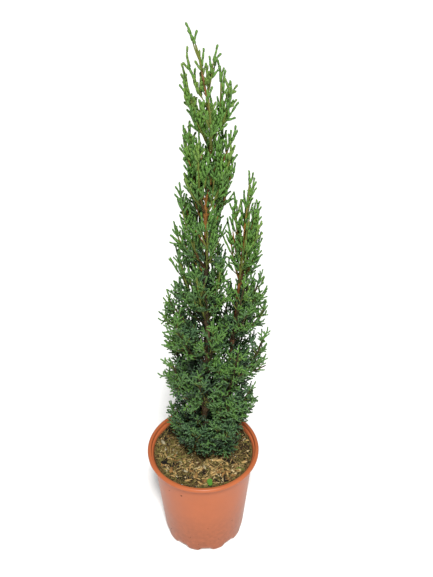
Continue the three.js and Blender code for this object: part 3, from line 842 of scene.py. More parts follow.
speck_turn = np.radians([speck.angle for speck in SPECKS])
speck_height = np.array([speck.height for speck in SPECKS])
speck_size = np.array([speck.size for speck in SPECKS])
speck_radius = wall_radius(speck_height)
upright = np.zeros(len(SPECKS))
mesh = joined_mesh("wall_specks", [scattered(
    CRUMB_CORNERS, CRUMB_FACES,
    np.stack([speck_radius * np.sin(speck_turn), -speck_radius * np.cos(speck_turn), speck_height], axis=1),
    np.stack([speck_size / 2, np.full(len(SPECKS), SPECK_DEPTH), speck_size / 2], axis=1),
    turned(speck_turn, upright, upright), CRUMB_ROUGHNESS,
)])
mud = scrap_material("dried_mud", "#2c190d", speckle_mm=1, contrast=0.3)
show_piece("wall_specks", mesh, [mud])

# %% [markdown]
# Green things among the litter
#
# A weed seedling has opened two round leaves near the front of the lip, and a scrap of moss grows at
# the right. A leaf is a grid whose corners are pulled in to make a disc, because its even faces dish
# more smoothly than a fan round one hub. The disc is then sloped and given a thickness.

# %% Seedling
SeedLeaf = namedtuple("SeedLeaf", "x y length width turn")
SEED_LEAVES = [SeedLeaf(11.8, -60.2, 5.5, 6, 80), SeedLeaf(11, -57.2, 5.5, 6.8, 100)]
LEAF_GRID = 8
LEAF_LIFT = 3.2
LEAF_SLOPE = 0.5
LEAF_DISH = 0.05
LEAF_THICKNESS = 0.35

leaf = bmesh.new()
for seed_leaf in SEED_LEAVES:
    made = bmesh.ops.create_grid(leaf, x_segments=LEAF_GRID, y_segments=LEAF_GRID, size=1)
    base = soil_height(seed_leaf.x, seed_leaf.y) + LEAF_LIFT
    turn = math.radians(seed_leaf.turn)
    for point in made["verts"]:
        u, v = point.co.xy
        x = u * math.sqrt(1 - v * v / 2) * seed_leaf.length / 2
        y = v * math.sqrt(1 - u * u / 2) * seed_leaf.width / 2
        across = x * math.cos(turn) - y * math.sin(turn)
        along = x * math.sin(turn) + y * math.cos(turn)
        lift = LEAF_SLOPE * along + LEAF_DISH * (x * x + y * y)
        point.co = Vector((seed_leaf.x + across, seed_leaf.y + along, base + lift)) * MM
bmesh.ops.recalc_face_normals(leaf, faces=leaf.faces)
bmesh.ops.solidify(leaf, geom=leaf.faces[:], thickness=LEAF_THICKNESS * MM)
bmesh.ops.recalc_face_normals(leaf, faces=leaf.faces)
leaf_mesh = bpy.data.meshes.new("seedling_leaves")
leaf.to_mesh(leaf_mesh)
leaf.free()
leaf_green = scrap_material("seedling_leaf", "#4c7a29", speckle_mm=2, contrast=0.25)
show_piece("seedling_leaves", leaf_mesh, [leaf_green], ["soil"])

# %% Moss
MOSS_HEAP = (49, -32.6, 5, 4)

moss_mesh = joined_mesh("moss_sprig", [strewn_fibres(26, 2, 4.5, THIN_FIBRE, MOSS_HEAP)])
moss = scrap_material("moss_sprig", "#6f8f35", speckle_mm=1.5, contrast=0.3)
show_piece("moss_sprig", moss_mesh, [moss], ["soil"])

# %% [markdown]
# The plant's rule, written again
#
# The CAD source grows the plant by a rule: two leaders bend through a few measured places, and rings
# of sprays climb each leader, every spray with numbers from its own seeded stream. To make finer
# twigs that fill the same space, we repeat that rule here with the same stream and the same values.
# Only the trunk's taper and the sprays at the two tips are drawn closer to the photograph.

# %% What a leader is
GROUND = 145.8


class Leader:
    """An upright stem. Heights are millimetres above the soil.

    The radii and the crown are values at the foot and at the top, the crown narrows between two
    heights, and the flare is what the root adds to the radius and how high it reaches.
    """

    def __init__(self, name, height, bends, radii, taper, flare, crown, narrows):
        self.name = name
        self.height = height
        heights = np.linspace(GROUND, GROUND + height, len(bends))
        inner = np.column_stack([np.array(bends, float), heights])
        # One more knot past each end gives the curve its direction there.
        self.knots = np.vstack([2 * inner[0] - inner[1], inner, 2 * inner[-1] - inner[-2]])
        self.radii = radii
        self.taper = taper
        self.flare = flare
        self.crown = crown
        self.narrows = narrows

    def place(self, height):
        """The axis at a height: a smooth curve through the knots, which stand at even steps of height."""
        spans = len(self.knots) - 3
        along = np.clip(height / self.height, 0, 1) * spans
        i = min(int(along), spans - 1)
        s = along - i
        before, start, end, after = self.knots[i:i + 4]
        leave, arrive = (end - before) / 2, (after - start) / 2
        return (
            (2 * s**3 - 3 * s**2 + 1) * start + (s**3 - 2 * s**2 + s) * leave
            + (3 * s**2 - 2 * s**3) * end + (s**3 - s**2) * arrive
        )

    def radius(self, height):
        share = max(0, height / self.height)
        flare, flare_height = self.flare
        return between(*self.radii, share**self.taper) + flare * (1 - smoothstep(0, flare_height, height))

    def crown_radius(self, height):
        return between(*self.crown, smoothstep(*self.narrows, height))


# %% The trunk and the second leader
TRUNK_BENDS = [
    (1.5, 0), (2.5, 1), (5, 2), (6.5, 0), (7.5, -1), (4.2, 1),
    (7.5, 0), (6, 1), (10, 0), (12.3, -1), (4.5, -1),
]
SECOND_BENDS = [(13.9, -1.5), (23.8, -4), (33.5, -4), (36, -2), (41.5, 0), (45.5, 1), (50, 1)]
trunk = Leader(
    "trunk", height=505, bends=TRUNK_BENDS, radii=(5.4, 0.9), taper=0.6, flare=(2.7, 40),
    crown=(58, 27), narrows=(150, 430),
)
second = Leader(
    "second_leader", height=370, bends=SECOND_BENDS, radii=(3.6, 0.8), taper=0.7, flare=(0, 1),
    crown=(43, 14), narrows=(210, 380),
)
print("trunk leans from", trunk.place(0).round(1), "to", trunk.place(trunk.height).round(1))

# %% The CAD source's repeatable numbers
SEED_FACTOR = 2654435761
STREAM_FACTOR = 1664525
STREAM_STEP = 1013904223
STREAM_SIZE = 2**32


def random_stream(seed):
    """Numbers from 0 to 1, the same ones each time for the same seed."""
    state = seed * SEED_FACTOR % STREAM_SIZE
    while True:
        state = (state * STREAM_FACTOR + STREAM_STEP) % STREAM_SIZE
        yield state / STREAM_SIZE


def jitter(stream, spread):
    return spread * (2 * next(stream) - 1)


# %% The path of a spray
STEM_REACH = 0.8
STEM_BEND_OUT = 0.7
STEM_BEND_UP = 0.36
Spray = namedtuple("Spray", "name start bend tip size has_bough")


def make_spray(name, leader, height, azimuth, rise, reach, size, has_bough):
    """A spray's path: from inside its leader at one height, bending up to the crown's edge."""
    out = np.array([math.cos(azimuth), math.sin(azimuth), 0])
    tip_radius = leader.crown_radius(height + rise) * STEM_REACH * reach
    start = leader.place(height)
    bend = start + out * STEM_BEND_OUT * tip_radius + UP * STEM_BEND_UP * rise
    tip = leader.place(height + rise) + out * tip_radius
    tip[2] = start[2] + rise
    return Spray(name, start, bend, tip, size, has_bough)


# %% Sprays round the trunk
SEED = 28
LEVEL_SEED = 97
TRUNK_LEVELS = 7
MOST_IN_LEVEL = 6
FEWEST_IN_LEVEL = 3
LOWEST_LEVEL = 14
HIGHEST_LEVEL = 434
SKIRT_RISE = 55
SKIRT_REACH = 0.82
LOW_RISE = 100
HIGH_RISE = 62
SHARED_WEDGE = math.radians(26)
SHARED_REACH = 0.7
SHARED_TOP = 330
FIRST_PLACE = 0.3
LEVEL_STAGGER = 0.4
AZIMUTH_JITTER = 0.14
FOOT_JITTER = 9
REACH_JITTER = 0.14
TOP_SIZE = 0.62
BOUGH_LEVELS = range(1, 6)
BOUGH_EVERY = 3
BOUGH_PLACE = 2


def trunk_sprays():
    """Rings of sprays, thinned where the second leader shares the trunk's crown."""
    for level in range(TRUNK_LEVELS):
        up = level / (TRUNK_LEVELS - 1)
        # A half is rounded up, as in the CAD source.
        count = round(between(MOST_IN_LEVEL, FEWEST_IN_LEVEL, up) + NEARLY_ZERO)
        level_height = between(LOWEST_LEVEL, HIGHEST_LEVEL, up)
        level_reach = 1 if level else SKIRT_REACH
        rise = between(LOW_RISE, HIGH_RISE, up) if level else SKIRT_RISE
        is_shared = level_height < SHARED_TOP
        wedge = SHARED_WEDGE if is_shared else 0
        for place in range(count):
            stream = random_stream(SEED + LEVEL_SEED * level + place)
            stagger = LEVEL_STAGGER * (level % 2)
            turn = (place + FIRST_PLACE + stagger + jitter(stream, AZIMUTH_JITTER)) / count
            azimuth = between(wedge, FULL_TURN - wedge, turn)
            aside = math.acos(math.cos(azimuth))
            nearness = between(SHARED_REACH, 1, smoothstep(wedge, math.pi / 2, aside)) if is_shared else 1
            height = level_height + jitter(stream, FOOT_JITTER)
            reach = level_reach * nearness * (1 + jitter(stream, REACH_JITTER))
            has_bough = level in BOUGH_LEVELS and place % BOUGH_EVERY == BOUGH_PLACE
            name = f"spray_{level + 1}_{place + 1}"
            yield make_spray(name, trunk, height, azimuth, rise, reach, between(1, TOP_SIZE, up), has_bough)


# %% Sprays on the second leader and at the tips
SECOND_SEED = 5000
SECOND_LEVELS = 4
SECOND_IN_LEVEL = 3
SECOND_LOWEST = 36
SECOND_HIGHEST = 276
SECOND_RISE = 92
SECOND_FAN = math.radians(72)
SECOND_BOUGH_PLACE = 1
TIP_STEMS = {"trunk": (-5.5, 0, 24), "second_leader": (1.5, 0, 19)}
TIP_SIZE = 0.37
TIP_LOOK_BACK = 2


def second_sprays():
    """Sprays in a fan on the second leader's outer side."""
    for level in range(SECOND_LEVELS):
        up = level / (SECOND_LEVELS - 1)
        level_reach = 1 if level else SKIRT_REACH
        for place in range(SECOND_IN_LEVEL):
            stream = random_stream(SEED + SECOND_SEED + LEVEL_SEED * level + place)
            turn = place / (SECOND_IN_LEVEL - 1) + jitter(stream, AZIMUTH_JITTER / 2)
            azimuth = between(-SECOND_FAN, SECOND_FAN, turn)
            height = between(SECOND_LOWEST, SECOND_HIGHEST, up) + jitter(stream, FOOT_JITTER)
            reach = level_reach * (1 + jitter(stream, REACH_JITTER))
            has_bough = level % 2 == 1 and place == SECOND_BOUGH_PLACE
            name = f"second_spray_{level + 1}_{place + 1}"
            size = between(1, TOP_SIZE, up)
            yield make_spray(name, second, height, azimuth, SECOND_RISE, reach, size, has_bough)


def tip_spray(leader):
    """A leader's last spray, whose stem carries the leader's line on."""
    end = leader.place(leader.height)
    along = unit(end - leader.place(leader.height - TIP_LOOK_BACK))
    reach = np.array(TIP_STEMS[leader.name])
    return Spray(f"{leader.name}_tip_spray", end, end + along * reach[2] / 2, end + reach, TIP_SIZE, False)


sprays = [*trunk_sprays(), *second_sprays(), tip_spray(trunk), tip_spray(second)]
missing = [spray.name for spray in sprays if spray.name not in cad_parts]
print("sprays:", len(sprays), "not in the frame:", missing)

# %% [markdown]
# Bark
#
# Low on the trunk the bark is dull brown and splits into fibrous strips. Higher up it is still thin
# and bright orange-brown, and the second leader's tip is still olive green. On the trunk the colour
# by height also holds painted light low down and painted shade just below the orange stretch. A limb
# is a curve with a round bevel, whose radius tapers from point to point. We turn it into a mesh with
# many rings and push its vertices in and out: long ridges for the fibres, flakes, and a swelling
# wherever a spray leaves it.

# %% Round limbs
def limb_mesh(name, places, radii, sides):
    """A round limb through some places, closed at both ends."""
    curve = bpy.data.curves.new(name, "CURVE")
    curve.dimensions = "3D"
    curve.bevel_depth = 1
    # A round bevel has four sides, and two more for each step of its resolution.
    curve.bevel_resolution = sides // 2 - 2
    curve.use_fill_caps = True
    spline = curve.splines.new("POLY")
    spline.points.add(len(places) - 1)
    for point, place, radius in zip(spline.points, places, radii):
        point.co = (*(Vector(place) * MM), 1)
        point.radius = radius * MM
    holder = bpy.data.objects.new(name, curve)
    mesh = bpy.data.meshes.new_from_object(holder)
    bpy.data.objects.remove(holder)
    bpy.data.curves.remove(curve)
    return mesh


# %% Bark relief
FIBRE_MM = 1.5
FIBRE_STRETCH = 6
FIBRE_SHARE = 0.7
FLAKE_MM = 5
FLAKE_STRETCH = 3
FLAKE_SHARE = 0.6
KNOT_MM = 3.6
KNOT_REACH = 3
KNOT_RISE = 0.3
BARK_DEPTH = 0.24


def carve_bark(mesh, radius_of, knots):
    """Moves a limb's vertices in and out by its fibres, flakes and knots."""
    for point in mesh.vertices:
        place = point.co / MM
        radius = radius_of(place)
        fibre = noise.noise(Vector((place.x, place.y, place.z / FIBRE_STRETCH)) / FIBRE_MM)
        flake = noise.noise(Vector((place.x, place.y, place.z / FLAKE_STRETCH)) / FLAKE_MM)
        depth = BARK_DEPTH * radius * (FIBRE_SHARE * fibre + FLAKE_SHARE * flake)
        for knot in knots:
            if abs(knot[2] - place.z) < KNOT_REACH * KNOT_MM:
                near = math.exp(-(Vector(knot) - place).length_squared / KNOT_MM**2 / 2)
                depth += KNOT_RISE * radius * near
        point.co += point.normal * depth * MM
    mesh.update()


# %% Leaders with bark
RING_STEP = 1.2
FOOT_SUNK = 5
LEVEL_PART = np.array([1, 1, 0])


def leader_mesh(leader, sides):
    """A leader's bark, with a knot at the foot of each of its sprays."""
    heights = np.arange(-FOOT_SUNK, leader.height + RING_STEP, RING_STEP)
    places = [leader.place(max(0, h)) + UP * min(0, h) for h in heights]
    radii = [leader.radius(min(h, leader.height)) for h in heights]
    mesh = limb_mesh(leader.name + "_bark", places, radii, sides)
    knots = []
    for spray in sprays:
        height = spray.start[2] - GROUND
        if np.allclose(leader.place(height), spray.start):
            out = unit((spray.bend - spray.start) * LEVEL_PART + NEARLY_ZERO)
            knots.append(spray.start + out * leader.radius(height))
    carve_bark(mesh, lambda place: leader.radius(place.z - GROUND), knots)
    return mesh


# %% Fibrous bark
BARK_GRAIN_MM = 1.1
WANDER_MM = 24
WANDER_RISE = 50


def bark_material(name, stops):
    """Fibrous bark whose colour changes with height above the floor, in millimetres."""
    material, tree, shader, place = new_material(name, roughness=0.82)
    shader.inputs["Specular IOR Level"].default_value = 0.3
    height = add_node(tree, "ShaderNodeSeparateXYZ", {0: place}).outputs["Z"]
    wander = add_node(tree, "ShaderNodeTexNoise", {
        "Vector": place, "Scale": per_metre(WANDER_MM), "Detail": 3,
    })
    shift = add_node(tree, "ShaderNodeMapRange", {
        "Value": wander.outputs["Fac"], "To Min": -WANDER_RISE * MM, "To Max": WANDER_RISE * MM,
    })
    shifted = add_node(tree, "ShaderNodeMath", {0: height, 1: shift.outputs[0]})
    low, high = stops[0][0], stops[-1][0]
    share = add_node(tree, "ShaderNodeMapRange", {
        "Value": shifted.outputs[0], "From Min": low * MM, "From Max": high * MM,
    })
    ages_and_shade = add_node(tree, "ShaderNodeValToRGB", {0: share.outputs[0]})
    paint_ramp(ages_and_shade.color_ramp, [((stop - low) / (high - low), hex_text) for stop, hex_text in stops])
    upright = add_node(tree, "ShaderNodeMapping", {"Vector": place, "Scale": (1, 1, 1 / FIBRE_STRETCH)})
    fibres = add_node(tree, "ShaderNodeTexNoise", {
        "Vector": upright.outputs[0], "Scale": per_metre(BARK_GRAIN_MM), "Detail": 4,
    })
    shade = add_node(tree, "ShaderNodeMapRange", {
        "Value": fibres.outputs["Fac"], "From Min": 0.3, "From Max": 0.7, "To Min": 0.45, "To Max": 1.35,
    })
    barred = add_node(tree, "ShaderNodeVectorMath", {
        0: ages_and_shade.outputs[0], "Scale": shade.outputs[0],
    }, operation="SCALE")
    relief = add_node(tree, "ShaderNodeBump", {
        "Height": fibres.outputs["Fac"], "Strength": 0.7, "Distance": 0.5 * MM,
    })
    tree.links.new(barred.outputs[0], shader.inputs["Base Color"])
    tree.links.new(relief.outputs[0], shader.inputs["Normal"])
    return material


# %% The two leaders
TRUNK_SIDES = 24
SECOND_SIDES = 16

# The trunk's lowest stops are painted lighter, as painted light, and the dark band from 400 to 455 mm is
# painted shade.
trunk_bark = bark_material("cypress_bark", [
    (140, "#826c4e"), (330, "#6a553e"), (400, "#4a3d2e"), (455, "#40331f"), (475, "#93642f"),
    (520, "#94642f"), (545, "#62502c"), (600, "#8a5630"), (640, "#8c5e38"), (665, "#86683c"),
])
young_bark = bark_material("young_cypress_bark", [
    (140, "#544433"), (300, "#4d3b27"), (375, "#5c3a22"), (405, "#704424"), (430, "#9c6628"),
    (470, "#a87230"), (520, "#75722f"),
])
trunk_mesh = leader_mesh(trunk, TRUNK_SIDES)
second_mesh = leader_mesh(second, SECOND_SIDES)
show_piece("trunk_bark", trunk_mesh, [trunk_bark], ["trunk"])
show_piece("second_leader_bark", second_mesh, [young_bark], ["second_leader"])

# %% Boughs
BOUGH_SHARE = 0.38
BOUGH_OVERLAP = 1.1
BOUGH_SIDES = 10
BOUGH_RADII = (1.7, 1.1)
BOUGH_STEPS = 26

bough_bark = bark_material("cypress_bough_bark", [(140, "#4f3826"), (400, "#5b3d24"), (620, "#6f5a30")])
for spray in sprays:
    if spray.has_bough:
        shares = np.linspace(0, BOUGH_SHARE * BOUGH_OVERLAP, BOUGH_STEPS)
        places = [
            spray.start * (1 - s) ** 2 + spray.bend * 2 * s * (1 - s) + spray.tip * s * s for s in shares
        ]
        radii = [between(*BOUGH_RADII, s / BOUGH_SHARE) for s in shares]
        name = spray.name.replace("spray", "bough")
        mesh = limb_mesh(name + "_bark", places, radii, BOUGH_SIDES)
        carve_bark(mesh, lambda place: BOUGH_RADII[1], [])
        show_piece(name + "_bark", mesh, [bough_bark], [name])

# %% [markdown]
# Foliage
#
# A cypress carries scale leaves: tiny pointed scales pressed so tightly to the shoot that the shoot
# itself looks like a green, knobbly cord. Each spray has a stem with a few side stems, and twigs stand
# round those a golden angle apart. A twig's own branchlets lie flat, left and right in turn, and so do
# the tips on each branchlet, so a twig makes one lacy fan that turns its face to the light. Every level
# uses one rule: places along the parent, a spread from its direction, and a length that shrinks towards
# its end, where the last child carries the parent's line on.

# %% Grow side shoots
SPREAD_JITTER = 9
STEP_SPREAD = (0.2, 0.8)
LENGTH_SPREAD = (0.78, 1.2)
TURN_CHOICES = 60
END_SHARE = 0.92
END_SPREAD = 0.15
END_LENGTH = (0.55, 0.8)
CROOK = 0.07
GROWS_FINER = (0.3, 0.66)

# Spacing, spread, length and uplift each have one value low in the crown and one high in it.
Growth = namedtuple("Growth", "every first last spread length shrink uplift leads_on turn wobble")


def crown_share(height):
    """How far up the crown a height above the floor is, from 0 at the soil to 1 at the top."""
    return np.clip((height - GROUND) / (cad_box[1].z / MM - GROUND), 0, 1)


def side_shoots(parents, faces, growth, sizes):
    """Side shoots along every parent, turned aside round it. Also tells whose child each one is."""
    # How many each parent has, whose child each one is, and where along the parent it stands.
    finer = smoothstep(*GROWS_FINER, crown_share(parents.place(0.5)[:, 2]))
    every = between(*growth.every, finer)
    counts = np.maximum(1, np.round(parents.lengths() * (growth.last - growth.first) / every)).astype(int)
    parent = np.repeat(np.arange(len(counts)), counts)
    total = len(parent)
    order = np.arange(total) - np.repeat(np.cumsum(counts) - counts, counts)
    is_end = (order == counts[parent] - 1) & growth.leads_on
    step = (order + dice.uniform(*STEP_SPREAD, total)) / counts[parent]
    share = np.where(is_end, END_SHARE, between(growth.first, growth.last, step))[:, None]
    own = parents.picked(parent)
    # Which way it leaves: turned round the parent, and spread from the parent's own direction.
    foot = own.place(share)
    along = own.along(share)
    beside = unit(np.cross(faces[parent], along) + NEARLY_ZERO)
    front = np.cross(along, beside)
    first = dice.integers(0, TURN_CHOICES, len(counts))[parent]
    turn = growth.turn * (first + order) + dice.uniform(-growth.wobble, growth.wobble, total)
    aside = beside * np.cos(turn)[:, None] + front * np.sin(turn)[:, None]
    spread = between(*growth.spread, finer[parent])
    spread = np.radians(spread + dice.uniform(-SPREAD_JITTER, SPREAD_JITTER, total))
    spread = np.where(is_end, spread * END_SPREAD, spread)[:, None]
    direction = along * np.cos(spread) + aside * np.sin(spread)
    # How long it is, and how it curls up.
    end_length = between(*END_LENGTH, finer[parent])
    part = np.where(is_end, end_length, 1 - growth.shrink * share[:, 0])
    part *= dice.uniform(*LENGTH_SPREAD, total)
    length = (between(*growth.length, finer[parent]) * sizes[parent] * part)[:, None]
    uplift = between(*growth.uplift, finer[parent])[:, None]
    curl = ((UP - direction) * uplift + dice.normal(0, CROOK, direction.shape)) * length
    return Shoots(foot, direction * length, curl, own.spray), parent


# %% Join and arch shoots
def joined_shoots(*groups):
    """Several groups of shoots as one."""
    fields = ("foot", "reach", "curl", "spray")
    return Shoots(*(np.concatenate([getattr(group, field) for group in groups]) for field in fields))


def arched_shoots(starts, bends, ends, sprays_of):
    """Shoots that leave their starts towards the bends and arrive at their ends."""
    starts, bends, ends = np.array(starts), np.array(bends), np.array(ends)
    return Shoots(starts, 2 * (bends - starts), starts - 2 * bends + ends, np.array(sprays_of))


# %% [markdown]
# Where the crown is open
#
# Foliage never fills its space evenly. The photograph shows sky through the crown in some places and
# bare wood in others, so we list those places on the upright plane through the trunk. A shoot that the
# camera would see against the sky there is left out, and so are some of those in front of bare wood.
# Twigs that would stand out of the crown are shortened, and the slim plumes that do stand out of it are
# measured: each is given by the place of its tip.

# %% Sky and bare wood
SkyGap = namedtuple("SkyGap", "x z width height")
SKY_GAPS = [
    SkyGap(30, 383, 10, 17), SkyGap(33.5, 460, 10, 15), SkyGap(66, 411, 10, 13),
    SkyGap(36.6, 483.5, 8, 14), SkyGap(51, 501, 7, 11.5), SkyGap(23, 473, 6.6, 9),
    SkyGap(-0.6, 495, 5, 10), SkyGap(37.7, 427.5, 5, 8), SkyGap(11.7, 439, 4, 11),
    SkyGap(4, 625, 3, 11), SkyGap(-25.6, 430, 4.3, 9.5), SkyGap(27.4, 575, 4, 7),
    SkyGap(33, 435, 5, 6), SkyGap(-20, 427, 5, 5), SkyGap(29.5, 401.5, 6, 5),
    SkyGap(-11.7, 407, 3.7, 7.4), SkyGap(41, 548, 9, 42), SkyGap(-5.4, 637, 6, 22),
    SkyGap(16.4, 626, 5, 22),
]
BareWood = namedtuple("BareWood", "leader low high half_width")
BARE_WOOD = [
    BareWood(trunk, 455, 508, 2), BareWood(trunk, 330, 382, 2.6), BareWood(trunk, 225, 330, 3.4),
    BareWood(trunk, 160, 200, 4), BareWood(trunk, 60, 110, 5), BareWood(second, 215, 366, 2.4),
    BareWood(second, 90, 130, 3),
]
BARE_SHARE = 0.55
SIGHT_SHARES = (0.3, 0.65, 1.0)
HALF_SQUARED = 0.25
EYE = np.array(CAMERA_PLACE) / MM


def hides_a_gap(shoots):
    """Which shoots the camera would see in front of the sky, and some of those in front of bare wood."""
    hides = np.zeros(len(shoots.foot), bool)
    for share in SIGHT_SHARES:
        places = shoots.place(share)
        # The line of sight through each place is followed to the upright plane through the trunk.
        sight = (places - EYE) * (-EYE[1] / (places[:, 1] - EYE[1]))[:, None]
        x, z = EYE[0] + sight[:, 0], EYE[2] + sight[:, 2]
        for gap in SKY_GAPS:
            hides |= ((x - gap.x) / gap.width) ** 2 + ((z - gap.z) / gap.height) ** 2 < HALF_SQUARED
        for wood in BARE_WOOD:
            along = np.flatnonzero((z > GROUND + wood.low) & (z < GROUND + wood.high) & ~hides)
            axis = np.array([wood.leader.place(height - GROUND) for height in z[along]]).reshape(-1, 3)
            in_front = places[along, 1] < axis[:, 1] + wood.half_width
            is_bare = dice.uniform(0, 1, len(along)) < BARE_SHARE
            hides[along] = in_front & is_bare & (np.abs(x[along] - axis[:, 0]) < wood.half_width)
    return hides


# %% Twigs kept within the crown
CROWN_SLACK = (0.88, 1.06)
# Below these heights the crown narrows again towards the soil.
SKIRT_TOPS = {"trunk": 95, "second_leader": 170}
SKIRT_NARROW = 0.45
SHORTEST_TWIG = 0.3
FAN_OUTWARDS = 0.6
FAN_LIGHT = np.array([0, -1, 0.5])
FAN_ASTRAY = 0.4
mass_names = [spray.name for spray in sprays]


def leader_of(spray_index):
    return second if mass_names[spray_index].startswith("second") else trunk


def axis_places(shoots, places):
    """The leaders' axes at the heights of some places, one for each shoot."""
    return np.array([leader_of(own).place(place[2] - GROUND) for own, place in zip(shoots.spray, places)])


def trim_to_crown(shoots):
    """Shortens the shoots whose ends stand out too far from their leader, or leaves them out."""
    ends = shoots.place(1.0)
    heights = ends[:, 2] - GROUND
    outwards = np.linalg.norm((ends - axis_places(shoots, ends))[:, :2], axis=1)
    leaders = [leader_of(own) for own in shoots.spray]
    crown = np.array([leader.crown_radius(height) for leader, height in zip(leaders, heights)])
    skirt_tops = np.array([SKIRT_TOPS[leader.name] for leader in leaders])
    skirt = between(SKIRT_NARROW, 1, smoothstep(0, 1, heights / skirt_tops))
    allowed = crown * skirt * dice.uniform(*CROWN_SLACK, len(crown))
    kept = np.minimum(1, 1 - (outwards - allowed) / shoots.lengths())[:, None]
    trimmed = Shoots(shoots.foot, shoots.reach * kept, shoots.curl * kept, shoots.spray)
    return trimmed.picked(kept[:, 0] > SHORTEST_TWIG)


def fan_faces(shoots):
    """The side that each twig's fan turns to the light in front: up, outwards and a little astray."""
    middle = shoots.place(0.5)
    outwards = unit((middle - axis_places(shoots, middle)) * LEVEL_PART + NEARLY_ZERO)
    return unit(FAN_LIGHT + FAN_OUTWARDS * outwards + dice.normal(0, FAN_ASTRAY, outwards.shape))


# %% Plumes
PLUME_RISE = 74
PLUME_LOW_SHARE = 0.6
# Towards this height the plumes' rise shrinks to nothing.
PLUME_CEILING = 726
PLUME_STEM_SHARE = 0.72
Plume = namedtuple("Plume", "leader x y z")
TRUNK_PLUMES = [
    (-27, -10, 185), (-18, -25, 178), (5, -26, 175), (-22, -20, 215), (-30, -8, 236), (12, -28, 225),
    (-8, -30, 250), (-44, 0, 209), (-52, 0, 230), (-57, 0, 306), (-46, 0, 405), (-40, -6, 412),
    (-30, -8, 440), (-38, 0, 431), (-28, 0, 502), (-21, 0, 538), (-13, 0, 562), (32, 0, 549),
    (39, 0, 572), (-15, 0, 590), (38, 0, 587), (-12, 0, 605), (37, 0, 607), (-15, 0, 652), (36, 0, 652),
    (16.5, 0, 676), (3, 0, 672), (-10, 0, 671), (-7, -2, 590), (2, -3, 598), (22, -3, 602),
]
SECOND_PLUMES = [
    (28, -20, 172), (41, -18, 168), (46, -10, 190), (47, -14, 176), (34, -22, 174), (18, -22, 172),
    (50, -4, 182), (68, 0, 242), (69.5, 0, 273), (81, 0, 345), (81.5, 0, 408), (79, 0, 432),
    (66, -4, 420), (57, -6, 446), (70, -2, 440), (65, 0, 486), (31, 0, 494), (64.5, 0, 508),
    (33, 0, 509), (61.5, 0, 530), (34.5, 0, 531),
]
PLUMES = [Plume(trunk, *tip) for tip in TRUNK_PLUMES] + [Plume(second, *tip) for tip in SECOND_PLUMES]


def leader_stretch(leader, low, high):
    """A leader between two heights, as one shoot that bears twigs of its own."""
    start, middle, end = (leader.place(h) for h in (low, (low + high) / 2, high))
    tip_mass = mass_names.index(leader.name + "_tip_spray")
    return arched_shoots([start], [2 * middle - (start + end) / 2], [end], [tip_mass])


def plume_rise(plume):
    """How far a plume climbs: less near the soil and near the top."""
    return min(PLUME_RISE, PLUME_LOW_SHARE * (plume.z - GROUND), PLUME_CEILING - plume.z)


def plume_stem(plume):
    """The stem of a plume that ends at a measured place. Its last twig carries it there."""
    start = plume.leader.place(plume.z - GROUND - plume_rise(plume))
    end = np.array([plume.x, plume.y, plume.z])
    bend = start + (end - start) * [STEM_BEND_OUT, STEM_BEND_OUT, STEM_BEND_UP]
    tip_mass = mass_names.index(plume.leader.name + "_tip_spray")
    return arched_shoots([start], [bend], [end], [tip_mass]).stretch(0, PLUME_STEM_SHARE)


# %% How each level grows
GOLDEN_TURN = math.radians(137.5)
HALF_TURN = math.pi
SIDE_STEMS = Growth(
    every=(18, 18), first=0.08, last=0.66, spread=(28, 20), length=(46, 46), shrink=0.5,
    uplift=(0.16, 0.3), leads_on=False, turn=GOLDEN_TURN, wobble=0,
)
TWIGS = Growth(
    every=(4.8, 8.5), first=0.16, last=0.98, spread=(40, 24), length=(35, 33), shrink=0.42,
    uplift=(0.16, 0.3), leads_on=True, turn=GOLDEN_TURN, wobble=0,
)
BRANCHLETS = Growth(
    every=(3.3, 4.3), first=0.14, last=0.98, spread=(52, 29), length=(9.5, 14), shrink=0.5,
    uplift=(0.05, 0.12), leads_on=True, turn=HALF_TURN, wobble=0.4,
)
TIPS = Growth(
    every=(2.6, 4.4), first=0.24, last=0.95, spread=(54, 27), length=(3.5, 7), shrink=0.3,
    uplift=(0, 0.1), leads_on=True, turn=HALF_TURN, wobble=0.5,
)
PLUME_TWIGS = TWIGS._replace(every=(3.4, 4.8))

# %% Everything that bears twigs
Stretch = namedtuple("Stretch", "leader low high size")
LEADER_STRETCHES = [
    Stretch(trunk, 25, 140, 0.9), Stretch(trunk, 130, 240, 0.7), Stretch(trunk, 230, 330, 0.6),
    Stretch(trunk, 320, 400, 0.6), Stretch(trunk, 380, 450, 0.6), Stretch(trunk, 430, 503, 0.45),
    Stretch(second, 40, 150, 0.8), Stretch(second, 150, 220, 0.6), Stretch(second, 210, 290, 0.6),
    Stretch(second, 280, 368, 0.5),
]

spray_size = np.array([spray.size for spray in sprays])
paths = ([getattr(spray, name) for spray in sprays] for name in ("start", "bend", "tip"))
stems = arched_shoots(*paths, np.arange(len(sprays)))
side_stems, _ = side_shoots(stems, np.tile(UP, (len(stems.foot), 1)), SIDE_STEMS, spray_size)
leader_wood = joined_shoots(*(leader_stretch(*stretch[:3]) for stretch in LEADER_STRETCHES))
plume_stems = joined_shoots(*(plume_stem(plume) for plume in PLUMES))
bearers = joined_shoots(stems, side_stems, leader_wood)
bearer_size = np.concatenate([
    spray_size, spray_size[side_stems.spray], [stretch.size for stretch in LEADER_STRETCHES],
])
print("stems", len(stems.foot), "side stems", len(side_stems.foot), "plumes", len(plume_stems.foot))

# %% Grow the twigs and their fans
TOP_THINS_FROM = 0.76
TOP_THINNING = 0.48
TOP_SEEN_AT = 0.8
PLUME_SIZE = (0.36, 0.58)
SMALLEST_FAN = 0.2


def near_top(shoots):
    """From 0 in most of the crown to 1 at its top."""
    return smoothstep(TOP_THINS_FROM, 1, crown_share(shoots.place(TOP_SEEN_AT)[:, 2]))


